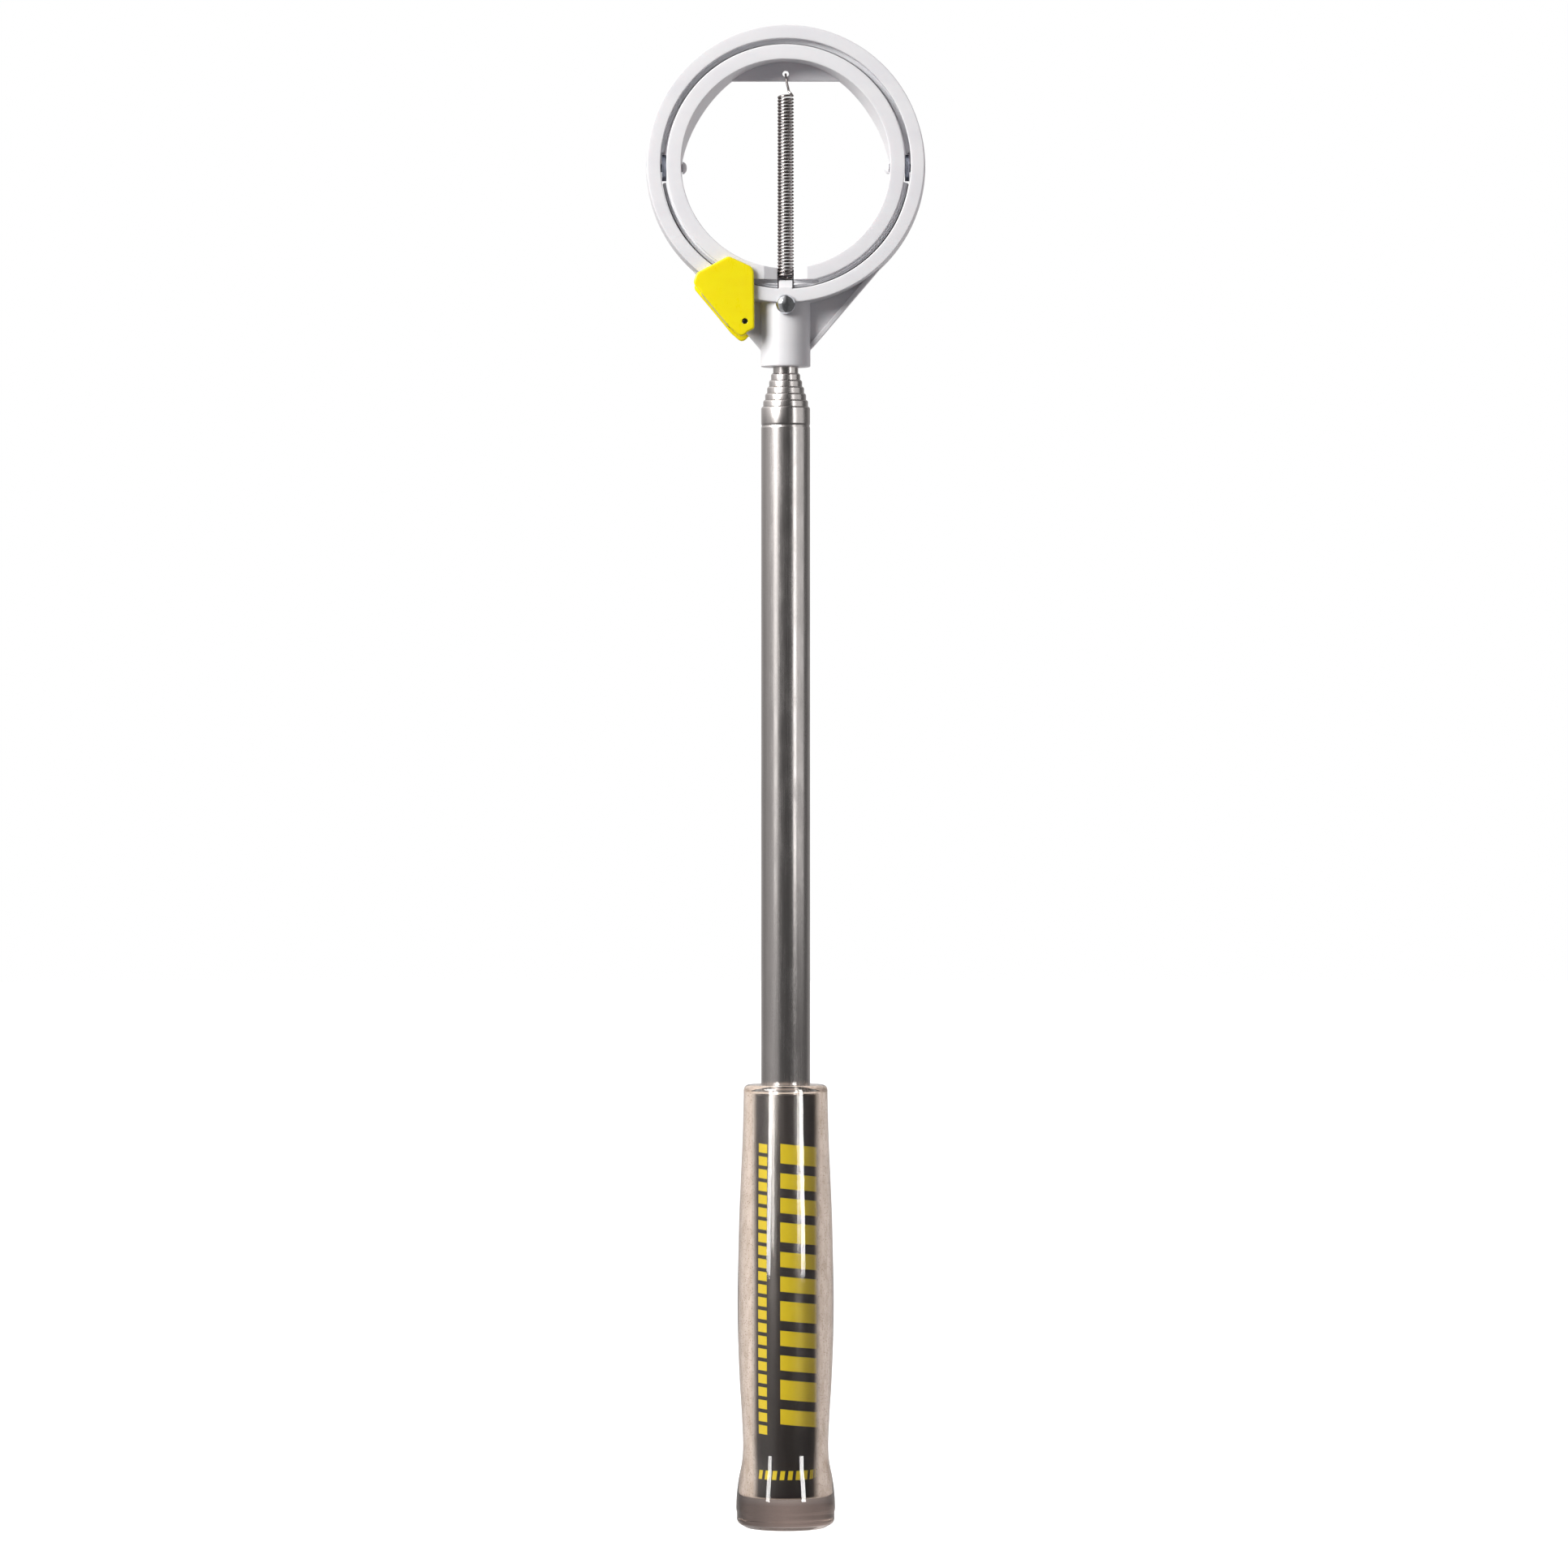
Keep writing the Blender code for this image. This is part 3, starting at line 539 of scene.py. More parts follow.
def bright(name, colour, roughness, grain):
    """Plated or polished small steel: near mirror with a faint ripple."""
    finish = Finish(name, colour, roughness, 1.0)
    ripple = finish.noise((grain, grain, grain), 3)
    finish.set("Roughness", finish.remap(ripple, 0.35, 0.7, roughness * 0.7, roughness * 1.5))
    tone = tuple(0.86 * value for value in colour)
    finish.colours(finish.remap(ripple, 0.4, 0.65, 0, 1), colour, tone)
    finish.bump(ripple, 0.006, 0.4)
    return finish


CLEAR_TINT = (0.95, 0.92, 0.89)
CLEAR_IOR = 1.49
# Heights in mm over which the painted shade on the clear butt fades: full below the first, none
# above the second.
PAINTED_BUTT_SHADE = (7.5, 11.0)


def light_passes(finish, shader):
    """Let light rays through a clear shader unbent, so that what is inside it is lit."""
    path = finish.node("ShaderNodeLightPath")
    through = finish.math("MAXIMUM", path.outputs["Is Shadow Ray"],
                          path.outputs["Is Diffuse Ray"])
    clear = finish.node("ShaderNodeBsdfTransparent")
    clear.inputs["Color"].default_value = (*CLEAR_TINT, 1)
    mixed = finish.mix_shaders(through, shader, clear.outputs["BSDF"])
    finish.feed(mixed, finish.output.inputs["Surface"])


def clear_outside():
    """Glossy outside of the clear grip, with painted shade that darkens it over the butt, and
    slow moulding ripples.
    """
    finish = Finish("clear_plastic_outside", (0.97, 0.94, 0.91), 0.03)
    split = finish.node("ShaderNodeSeparateXYZ")
    finish.feed(finish.place, split.inputs["Vector"])
    low, high = PAINTED_BUTT_SHADE
    butt = finish.remap(split.outputs["Z"], low * MM, high * MM, 0, 1)
    # Painted shade: dark brown base colour over the butt.
    finish.colours(butt, (0.4, 0.31, 0.28), (0.98, 0.96, 0.94))
    finish.set("Transmission Weight", 1.0)
    finish.set("IOR", CLEAR_IOR)
    finish.set("Specular IOR Level", 1.0)
    ripple = finish.noise((0.12, 0.12, 0.05), 2)
    finish.bump(ripple, 0.12, 0.15)
    light_passes(finish, finish.shader.outputs["BSDF"])
    return finish


def clear_bore():
    """Bore of the clear grip: a little milky at grazing angles, with specks."""
    finish = Finish("clear_plastic_bore", (0.93, 0.88, 0.83), 0.06)
    finish.set("Transmission Weight", 1.0)
    finish.set("IOR", CLEAR_IOR)
    specks = finish.node("ShaderNodeTexVoronoi")
    specks.inputs["Scale"].default_value = 1.0
    finish.feed(finish.stretched((1.6, 1.6, 1.6)), specks.inputs["Vector"])
    dots = finish.remap(specks.outputs["Distance"], 0.16, 0.26, 1, 0)
    cloud = finish.noise((0.5, 0.5, 0.2), 4, 0.6)
    haze = finish.node("ShaderNodeBsdfDiffuse")
    milky = finish.blend(finish.remap(cloud, 0.35, 0.7, 0, 1), (0.66, 0.57, 0.51),
                        (0.46, 0.38, 0.31))
    finish.feed(finish.blend(dots, milky, (0.2, 0.14, 0.1)), haze.inputs["Color"])
    facing = finish.node("ShaderNodeLayerWeight")
    facing.inputs["Blend"].default_value = 0.5
    grazing = finish.remap(facing.outputs["Facing"], 0.2, 0.32, 0.005, 0.75)
    light_passes(finish, finish.mix_shaders(grazing, finish.shader.outputs["BSDF"],
                                            haze.outputs["BSDF"]))
    return finish


def printed_film():
    """Black label film: satin, with fine wrinkles along the shaft."""
    finish = Finish("label_film_black", (0.022, 0.02, 0.022), 0.34)
    wrinkle = finish.noise((0.8, 0.8, 0.1), 4)
    finish.colours(wrinkle, (0.014, 0.013, 0.014), (0.034, 0.031, 0.034))
    finish.bump(wrinkle, 0.03, 0.4)
    return finish


def ink():
    """Yellow ink on the film, a touch uneven."""
    finish = Finish("label_ink_yellow", (0.95, 0.78, 0.02), 0.4)
    cover = finish.noise((2.2, 2.2, 2.2), 4)
    finish.colours(cover, (0.98, 0.82, 0.02), (0.84, 0.68, 0.015))
    return finish


def nylon_finish():
    """Uncoloured nylon: cloudy off-white with a fine grain."""
    finish = Finish("nylon_natural", (0.78, 0.76, 0.7), 0.45)
    cloud = finish.noise((0.6, 0.6, 0.6), 4)
    finish.colours(cloud, (0.82, 0.8, 0.74), (0.68, 0.65, 0.58))
    finish.bump(finish.noise((4.0, 4.0, 4.0), 2), 0.01, 0.5)
    return finish


WHITE = moulded("white_abs", (0.84, 0.84, 0.86), (0.80, 0.80, 0.83), 0.36)
YELLOW = moulded("yellow_abs", (0.98, 0.83, 0.004), (0.95, 0.77, 0.003), 0.3)
STEEL = brushed("stainless_drawn", (0.66, 0.63, 0.62), 0.22)
SPRING_STEEL = bright("spring_wire", (0.5, 0.46, 0.45), 0.22, 6.0)
# Painted shade: the wire goes dark between the coils of the spring.
SPRING_STEEL.paint_crevice_shade(0.7, (0.03, 0.025, 0.025))
SPRING_STEEL.set("Specular Tint", (0.3, 0.27, 0.26, 1))
CHROME = bright("chrome_dome", (0.8, 0.83, 0.87), 0.06, 1.2)
ZINC = bright("zinc_blue", (0.58, 0.62, 0.72), 0.42, 4.0)
# Near black latch pin: painted shade that stands in for the shade of a deep hole in the latch.
PAINTED_HOLE_SHADE = bright("blacked_pin", (0.07, 0.07, 0.08), 0.25, 6.0)
NYLON = nylon_finish()


def done(obj, finish, body, slot, *nodes):
    """Give a piece its finish, its body and the CAD nodes it replaces. The slot argument is not
    used.
    """
    if finish is not None:
        obj.data.materials.clear()
        obj.data.materials.append(finish.material)
    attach(obj, body)
    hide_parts(*nodes)


# --- Shaft ---

WALL = 0.33
NECK_DEPTH = 0.36
NECK_LENGTH = 5.6
NECK_RAMP = 0.6
SKIRT_INSET = 0.08
SKIRT_HEIGHT = 0.4
GROOVE_BELOW_TOP = 5.5
GROOVE_DEPTH = 0.16
GROOVE_HALF = 0.6
LIP_INSET = 0.42
LIP_DEPTH = 0.5
LIP_END = 1.0
TUBE_SEGMENTS = 96


def tube_profile(radius, low, high, necked, rolled):
    """Outside and inside of a tube: neck for the bush below, rolled groove and lip above."""
    bore = radius - WALL
    neck = radius - NECK_DEPTH
    skirt = radius - SKIRT_INSET
    if necked:
        corners = [(neck - WALL, low, 0.1), (skirt, low, 0.12), (skirt, low + SKIRT_HEIGHT, 0),
                   (neck, low + NECK_RAMP, 0.2), (neck, low + NECK_LENGTH - NECK_RAMP, 0.6),
                   (radius, low + NECK_LENGTH, 0.6)]
    else:
        corners = [(bore, low, 0.1), (radius, low, 0.15)]
    if rolled:
        groove = high - GROOVE_BELOW_TOP
        corners += [(radius, groove - GROOVE_HALF, 0.25), (radius - GROOVE_DEPTH, groove, 0.2),
                    (radius, groove + GROOVE_HALF, 0.25), (radius, high, 0.55),
                    (radius - LIP_INSET, high, 0.1), (radius - LIP_INSET, high - LIP_DEPTH, 0.1),
                    (bore, high - LIP_END, 0.2), (bore, groove + GROOVE_HALF, 0.2),
                    (bore - GROOVE_DEPTH, groove, 0.2), (bore, groove - GROOVE_HALF, 0.2)]
    else:
        corners += [(radius, high, 0.12), (bore, high, 0.1)]
    if necked:
        corners += [(bore, low + NECK_LENGTH, 0.5),
                    (neck - WALL, low + NECK_LENGTH - NECK_RAMP, 0.5)]
    return rounded(corners, 3)


def build_tubes():
    """The seven tubes, on the bodies that the record gives them."""
    for body, names in frame["record"]["behaviour"]["bodies"].items():
        for node in names:
            if node != "main_tube" and not node.startswith("tube_"):
                continue
            low, high = box_mm(node)
            tip = body == "head"
            profile = tube_profile(high.x, low.z, high.z, node != "main_tube", not tip)
            obj = piece(node + "_drawn", turned(profile, TUBE_SEGMENTS))
            if tip:
                hole = shifted(rod(RIVET_BORE, -FRONT, 0, 0, 32, "Y"), z=CENTRE_Z + RIVET_Y)
                carve(obj, [("DIFFERENCE", hole)], Matrix.Identity(4))
            done(obj, STEEL, body, "stainless", node)


def build_hidden():
    """Bushes and plugs keep their CAD shape and get the nylon finish."""
    for name, node in frame["nodes"].items():
        if name.startswith("bush_") or name.endswith("_plug"):
            node.data.materials.clear()
            node.data.materials.append(NYLON.material)


# --- Grip ---

SLEEVE_LOW, SLEEVE_HIGH = box_mm("label_sleeve")
# The label is drawn larger by this much, as the clear wall magnifies it in the photo
LENS_SWELL = 0.9
SLEEVE_OUT = SLEEVE_HIGH.x + LENS_SWELL
SLEEVE_WALL = 1.2
GRIP_BORE = 8.3 + LENS_SWELL
GRIP_FLOOR = 8.8
GRIP_MOUTH = 7.4
MOUTH_HEIGHT = 2.2
GRIP_SEGMENTS = 128
SIDE_BEYOND_BORE = 0.5
SIDE_ABOVE_BUTT = 1.0
BUTT_FOOT_INSET = 1.2
BUTT_EDGE = 1.6
BORE_MARGIN = 0.1

# Print on the label: spans run round from its front, bar heights and gap are shares of the pitch
INK_LIFT = 0.05
PRINT_TOP = 14.0
PRINT_BOTTOM = 18.0
BAR_SPAN = (-1.4, 12.6)
BAR_PITCH = 7.1
BAR_TALL, BAR_SHORT = 0.8, 0.62
BAR_GAP = 1.2
BAR_SLANT = 1.6
DASH_SPAN = (-7.9, -5.1)
DASH_PITCH = 3.7
DASH_TALL = 2.6
DASH_SLANT = 0.3
TICKS = 9
TICK_BASE = 5.2
TICK_PITCH = 2.1
TICK_WIDE = 1.2
TICK_TALL = 2.6
TICK_LEAN = 0.3


def grip_outline():
    """Outer side of the CAD grip from its butt up, as (radius, height) points."""
    points = set()
    for vert in frame["nodes"]["grip"].data.vertices:
        radius = round(vert.co.xy.length / MM, 2)
        height = round(vert.co.z / MM, 2)
        if radius > GRIP_BORE + SIDE_BEYOND_BORE and height > SIDE_ABOVE_BUTT:
            points.add((height, radius))
    return [(radius, height) for height, radius in sorted(points)]


def curve_through(points, steps):
    """Catmull-Rom curve through a list of points, ends included."""
    points = [Vector(point) for point in points]
    padded = [2 * points[0] - points[1], *points, 2 * points[-1] - points[-2]]
    curve = []
    for a, b, c, d in zip(padded, padded[1:], padded[2:], padded[3:]):
        for step in range(steps):
            t = step / steps
            curve.append(0.5 * (2 * b + (c - a) * t + (2 * a - 5 * b + 4 * c - d) * t * t
                                + (3 * b - a - 3 * c + d) * t ** 3))
    return curve + [points[-1]]


def build_grip():
    """Clear grip with its own glaze in the bore, and the label film inside it."""
    top_z = box_mm("grip")[1].z
    mouth = top_z - MOUTH_HEIGHT
    side = grip_outline()
    butt = side[0][0]
    shoulder = side[-3][0]
    body = curve_through(side[1:-2], 5)
    base = rounded([(0, 0, 0), (butt - BUTT_FOOT_INSET, 0, BUTT_EDGE),
                    (body[0].x, BUTT_EDGE, 2.0), (*body[0], 0)], 6)
    top = rounded([(*body[-1], 0), (shoulder, top_z, 1.6), (GRIP_MOUTH, top_z, 0.5),
                   (GRIP_MOUTH, mouth, 0.25), (GRIP_BORE, mouth, 0.4),
                   (GRIP_BORE, GRIP_FLOOR, 0.6), (0, GRIP_FLOOR, 0)], 5)
    obj = piece("grip_shell", turned(base[:-1] + body[:-1] + top, GRIP_SEGMENTS))
    for finish in (clear_outside(), clear_bore()):
        obj.data.materials.append(finish.material)
    for face in obj.data.polygons:
        centre = face.center / MM
        level = GRIP_FLOOR - BORE_MARGIN < centre.z < mouth + BORE_MARGIN
        if level and centre.xy.length < GRIP_BORE + BORE_MARGIN:
            face.material_index = 1
    done(obj, None, "handle", "clear_plastic", "grip")

    wall_in = SLEEVE_OUT - SLEEVE_WALL
    profile = rounded([(wall_in, SLEEVE_LOW.z, 0.1), (SLEEVE_OUT, SLEEVE_LOW.z, 0.1),
                       (SLEEVE_OUT, SLEEVE_HIGH.z, 0.15), (wall_in, SLEEVE_HIGH.z, 0.1)], 2)
    obj = piece("label_film", turned(profile, GRIP_SEGMENTS))
    done(obj, printed_film(), "handle", "label_film", "label_sleeve")


def patch(bm, corners, steps=10):
    """Thin raised ink shape on the sleeve from four (distance round, height) corners."""
    layers = []
    for radius in (SLEEVE_OUT - INK_LIFT, SLEEVE_OUT + INK_LIFT):
        rows = []
        for left, right in ((corners[0], corners[1]), (corners[3], corners[2])):
            row = []
            for step in range(steps + 1):
                spot = Vector(left).lerp(Vector(right), step / steps)
                angle = spot.x / SLEEVE_OUT - math.pi / 2
                row.append(bm.verts.new((radius * math.cos(angle), radius * math.sin(angle),
                                         spot.y)))
            rows.append(row)
        layers.append(rows)
    (low_a, low_b), (high_a, high_b) = layers
    for i in range(steps):
        bm.faces.new((high_a[i], high_a[i + 1], high_b[i + 1], high_b[i]))
        bm.faces.new((low_a[i + 1], low_a[i], low_b[i], low_b[i + 1]))
        bm.faces.new((low_a[i], low_a[i + 1], high_a[i + 1], high_a[i]))
        bm.faces.new((low_b[i + 1], low_b[i], high_b[i], high_b[i + 1]))
    bm.faces.new((low_b[0], low_a[0], high_a[0], high_b[0]))
    bm.faces.new((low_a[-1], low_b[-1], high_b[-1], high_a[-1]))


def build_print():
    """Plain yellow bars down the label: no lettering and no mark."""
    bm = bmesh.new()
    top = SLEEVE_HIGH.z - PRINT_TOP
    bottom = SLEEVE_LOW.z + PRINT_BOTTOM
    left, right = BAR_SPAN
    height = top
    index = 0
    while height - BAR_PITCH > bottom:
        tall = BAR_PITCH * (BAR_SHORT if index % 3 else BAR_TALL)
        patch(bm, [(left, height - tall), (right, height - tall - BAR_SLANT),
                   (right, height - BAR_SLANT), (left, height)])
        height -= BAR_PITCH if index % 3 else BAR_PITCH * BAR_GAP
        index += 1
    left, right = DASH_SPAN
    height = top
    while height > bottom:
        patch(bm, [(left, height - DASH_TALL), (right, height - DASH_TALL - DASH_SLANT),
                   (right, height - DASH_SLANT), (left, height)], 3)
        height -= DASH_PITCH
    base = SLEEVE_LOW.z + TICK_BASE
    for step in range(TICKS):
        left = DASH_SPAN[0] + TICK_PITCH * step
        patch(bm, [(left, base), (left + TICK_WIDE, base),
                   (left + TICK_WIDE + TICK_LEAN, base + TICK_TALL),
                   (left + TICK_LEAN, base + TICK_TALL)], 2)
    obj = piece("label_bars", bm)
    done(obj, ink(), "handle", "label_film")


# --- Head ---

def above(angle, start):
    """Whether an angle lies in the upper half, at least start above the pivots."""
    return start < angle < math.pi - start


def hoop(section_at, *starts):
    """Ring lofted through a (radius, height) section at each angle; starts mark its steps."""
    angles = [math.tau * i / RING_SEGMENTS - math.pi / 2 for i in range(RING_SEGMENTS)]
    for start in starts:
        for edge in (start, math.pi - start):
            angles += [edge - STEP_SPREAD, edge + STEP_SPREAD]
    bm = bmesh.new()
    loops = []
    for angle in sorted(angles):
        turn = Matrix.Rotation(angle, 3, "Z")
        loops.append([bm.verts.new(turn @ Vector((radius, 0, height)))
                      for radius, height in section_at(angle)])
    for first, second in zip(loops, loops[1:] + loops[:1]):
        for i in range(len(first)):
            j = (i + 1) % len(first)
            bm.faces.new((first[i], first[j], second[j], second[i]))
    bmesh.ops.remove_doubles(bm, verts=bm.verts, dist=HOOP_WELD)
    return bm


def frame_section(angle):
    """Frame ring: plain below the pivots, with a shelf and rear lips in the upper gap."""
    wall, outer = FRAME_WALL_IN, FRAME_OUT_REAR
    rim = outer - RIM_INSET
    covered, shelved = above(angle, COVER_START), above(angle, SHELF_START)
    rear, edge = (LEDGE_REAR, LIP_EDGE) if covered else (RING_REAR, 0)
    lip = STOP_IN if above(angle, STOP_START) else COVER_IN if covered else wall
    lip_top = rear + LIP_THICKNESS if covered else rear
    low, tip = (SHELF_IN, SHELF_LIP_IN) if shelved else (wall, wall)
    # The first and last corners only set the directions of their neighbours' edges
    front = rounded([(wall, 0, 0), (wall, FRONT, EDGE), (outer - FRAME_DRAFT, FRONT, EDGE),
                     (outer, RING_REAR, REAR_EDGE), (wall, RING_REAR, 0)], 4)
    return [*front[1:-1], (rim, RING_REAR), (rim, rear + edge), (rim - edge, rear),
            (lip + edge, rear), (lip, rear + edge), (lip, lip_top - edge),
            (lip + edge, lip_top), (low, lip_top), (low, SHELF_LIP_REAR),
            (tip, SHELF_LIP_REAR), (tip, SHELF_FRONT - SHELF_CHAMFER),
            (min(tip + SHELF_CHAMFER, wall), SHELF_FRONT), (wall, SHELF_FRONT)]


def web_touch():
    """Angle and point where the right web's straight edge meets the ring."""
    reach = FRAME_OUT_REAR - RIM_INSET
    angle = math.atan2(WEB_FOOT.y, WEB_FOOT.x) + math.acos(reach / WEB_FOOT.length)
    return angle, Vector((reach * math.cos(angle), reach * math.sin(angle)))


def web_outline():
    """Both webs as one outline: straight tangents from the socket's sides to the ring."""
    touch, right = web_touch()
    left = Vector((-right.x, right.y))
    inside = arc(FRAME_WALL_IN + RING_OVERLAP, math.pi - touch - math.tau, touch, 24)
    return [Vector((-WEB_FOOT.x, WEB_FOOT.y)), WEB_FOOT, right, *reversed(inside), left]


def web_rim():
    """Raised strip along the outer edge of the right web, clear of the latch."""
    right = web_touch()[1]
    along = (right - WEB_FOOT).normalized()
    inward = Vector((-along.y, along.x))
    low = WEB_FOOT + along * WEB_RIM_START - inward * WEB_RIM_OUT
    high = right + along * WEB_RIM_END - inward * WEB_RIM_OUT
    corners = [low, high, high + inward * WEB_RIM_WIDTH, low + inward * WEB_RIM_WIDTH]
    outline = rounded([(*corner, 0.4) for corner in corners], 3)
    return slab(outline, WEB_REAR + WEB_RIM_REAR, WEB_RIM_FRONT, 0.2)


def socket():
    """Round boss below the ring that the tip tube enters."""
    profile = rounded([(0, SOCKET_BOTTOM, 0), (SOCKET_RADIUS, SOCKET_BOTTOM, 0.35),
                       (SOCKET_RADIUS, SOCKET_TOP, 0.6), (0, SOCKET_TOP, 0)], 4)
    return rotated(turned(profile, 96), -math.pi / 2, "X")


def stub_bevel():
    """Wedge off the stub's front top edge, so that the tipped spring clears it."""
    low = Vector((STUB_TOP - STUB_BEVEL, FRONT))
    high = Vector((STUB_TOP, FRONT - STUB_BEVEL))
    run = (high - low) / 2
    top, front = high + run, low - run
    half = STUB_HALF + OVERSHOOT
    wedge = slab([top, front, Vector((top.x, front.y))], -half, half)
    return rotated(wedge, math.tau / 3, Vector((1, 1, 1)))


def pivot_bore(reach):
    """Bore along the ring's hinge, reach to either side of the middle."""
    return shifted(rod(PIVOT_BORE, -reach, reach, 0, 32, "X"), 0, PIVOT_Y, PIVOT_DEPTH)


def build_frame():
    """Outer ring, lips, socket, webs, stub and bosses in one moulding."""
    ring = hoop(frame_section, COVER_START, SHELF_START, STOP_START)
    obj = piece("head_frame_moulding", ring, HEAD)
    half = STUB_HALF
    low = -FRAME_WALL_IN - RING_OVERLAP
    stub = rounded([(-half, low, 0), (half, low, 0), (half, STUB_TOP, 0.3),
                    (-half, STUB_TOP, 0.3)], 3)
    carve(obj, [
        ("UNION", socket()),
        ("UNION", slab(web_outline(), WEB_REAR + WEB_INSET, WEB_FRONT, 0.35)),
        ("UNION", web_rim()),
        ("UNION", slab(stub, STUB_REAR, FRONT, 0.25)),
        ("DIFFERENCE", stub_bevel()),
        ("UNION", shifted(rod(RIVET_BOSS, 0, FRONT - RIVET_BOSS_DROP, 0.2), y=RIVET_Y)),
        ("UNION", shifted(rod(LATCH_BOSS, WEB_REAR + LATCH_BOSS_REAR, FRONT, 0.2),
                          *LATCH_PIVOT)),
        ("DIFFERENCE", rod(SOCKET_BORE, SOCKET_BOTTOM - OVERSHOOT, SOCKET_TOP - SOCKET_CEILING,
                           axis="Y")),
        ("DIFFERENCE", together(
            pivot_bore(FRAME_PIVOT_REACH),
            shifted(rod(RIVET_BORE, RIVET_BORE_REAR, FRONT + OVERSHOOT, 0, 30), y=RIVET_Y),
            shifted(rod(LATCH_HOLE, WEB_REAR - OVERSHOOT, FRONT + OVERSHOOT, 0, 32),
                    *LATCH_PIVOT),
            shifted(rod(HOOK_BORE, HOOK_BORE_BOTTOM, STUB_TOP + OVERSHOOT, 0, 24, "Y"),
                    z=SPRING_FOOT.z))),
    ])
    done(obj, WHITE, "head", "white_plastic", "head_frame")


def ring_section(angle):
    """Flip ring: a stepped flange below the pivots, a wall that leans in above them."""
    inner, outer = RING_WALL_IN, RING_WALL_OUT
    flanged = above(angle + math.pi, FLANGE_START) or above(angle - math.pi, FLANGE_START)
    step, flange, collar, edge = outer, outer, outer, 0
    if flanged:
        step, flange, collar, edge = STEP_OUT, FLANGE_OUT, COLLAR_OUT, LIP_EDGE
    foot = inner - REAR_BULGE * 2 * math.cos(angle) ** 2 * max(0.0, math.sin(angle))
    front = rounded([(inner, 0, 0), (inner, FRONT, EDGE), (outer, FRONT, EDGE),
                     (outer, 0, 0)], 4)
    return [*front[1:-1], (outer, STEP_FRONT), (step - edge, STEP_FRONT),
            (step, STEP_FRONT - edge), (step, FLANGE_FRONT), (flange - edge, FLANGE_FRONT),
            (flange, FLANGE_FRONT - edge), (flange, COLLAR_FRONT), (collar, COLLAR_FRONT),
            (collar, COLLAR_REAR), (outer, COLLAR_REAR), (outer, RING_REAR + REAR_EDGE),
            (outer - REAR_EDGE, RING_REAR), (foot + REAR_EDGE, RING_REAR),
            (foot, RING_REAR + REAR_EDGE)]


def build_ring():
    """Flip ring with its spring plate, slot and ramps."""
    obj = piece("flip_ring_moulding", hoop(ring_section, -FLANGE_START), HEAD)
    half = math.acos(PLATE_BOTTOM / PLATE_OUT)
    outline = arc(PLATE_OUT, math.pi / 2 - half, math.pi / 2 + half, 32)
    plate_front = RING_REAR + PLATE_DEPTH
    plate = slab(outline, RING_REAR + PLATE_SINK, plate_front, 0.3)
    out = FRONT + OVERSHOOT
    slot = rounded([(-SLOT_HALF, SLOT_REAR, 0.2), (SLOT_HALF, SLOT_REAR, 0.2),
                    (SLOT_HALF, FRONT - RAMP_DEPTH, 0.3), (RAMP_HALF, FRONT, 0.4),
                    (RAMP_HALF, out, 0), (-RAMP_HALF, out, 0), (-RAMP_HALF, FRONT, 0.4),
                    (-SLOT_HALF, FRONT - RAMP_DEPTH, 0.3)], 3)
    slot = rotated(slab(slot, RING_WALL_IN - 2 * OVERSHOOT, COLLAR_OUT + OVERSHOOT),
                   math.pi / 2, "X")
    flat = rounded([(-FLAT_HALF, FLAT_LOW, 0.1), (FLAT_HALF, FLAT_LOW, 0.1),
                    (FLAT_HALF, FLAT_TOP, 0.3), (-FLAT_HALF, FLAT_TOP, 0.3)], 3)
    hole = rod(HOOK_HOLE_RADIUS, RING_REAR - OVERSHOOT, plate_front + OVERSHOOT, 0, 32)
    carve(obj, [
        ("DIFFERENCE", slot),
        ("DIFFERENCE", slab(flat, FLAT_REAR, out)),
        ("UNION", plate),
        ("DIFFERENCE", shifted(hole, y=HOOK_HOLE_Y)),
        ("DIFFERENCE", pivot_bore(RING_PIVOT_REACH)),
    ])
    done(obj, WHITE, "flip_ring", "white_plastic", "inner_ring")


RIVET_SEAT = 0.25
RIVET_SHANK = 1.25
PIN_SHANK = 1.2
PIN_HEAD = 1.3
LATCH_PIN_RADIUS = 0.6
DOME_STEPS = 12
DOME_RIM = 0.12
DOME_EDGE = 0.08
SHANK_EDGE = 0.1


def dome(shank, length, radius, height):
    """Domed head above z = 0 with a rounded rim, on a shank that runs down."""
    angles = [math.pi / 2 * i / DOME_STEPS for i in range(1, DOME_STEPS)]
    cap = [(radius * math.cos(t), DOME_RIM + (height - DOME_RIM) * math.sin(t)) for t in angles]
    return turned([(0, -length), (shank - SHANK_EDGE, -length), (shank, SHANK_EDGE - length),
                   (shank, 0), (radius - DOME_EDGE, 0), (radius, DOME_RIM / 2), *cap,
                   (0, height)], 48)


def on_hinge(bm, side, along=0.0):
    """A turned part, drawn along Z, laid on the ring's hinge with its top towards one side."""
    return shifted(rotated(bm, side * math.pi / 2, "Y"), along, PIVOT_Y, PIVOT_DEPTH)


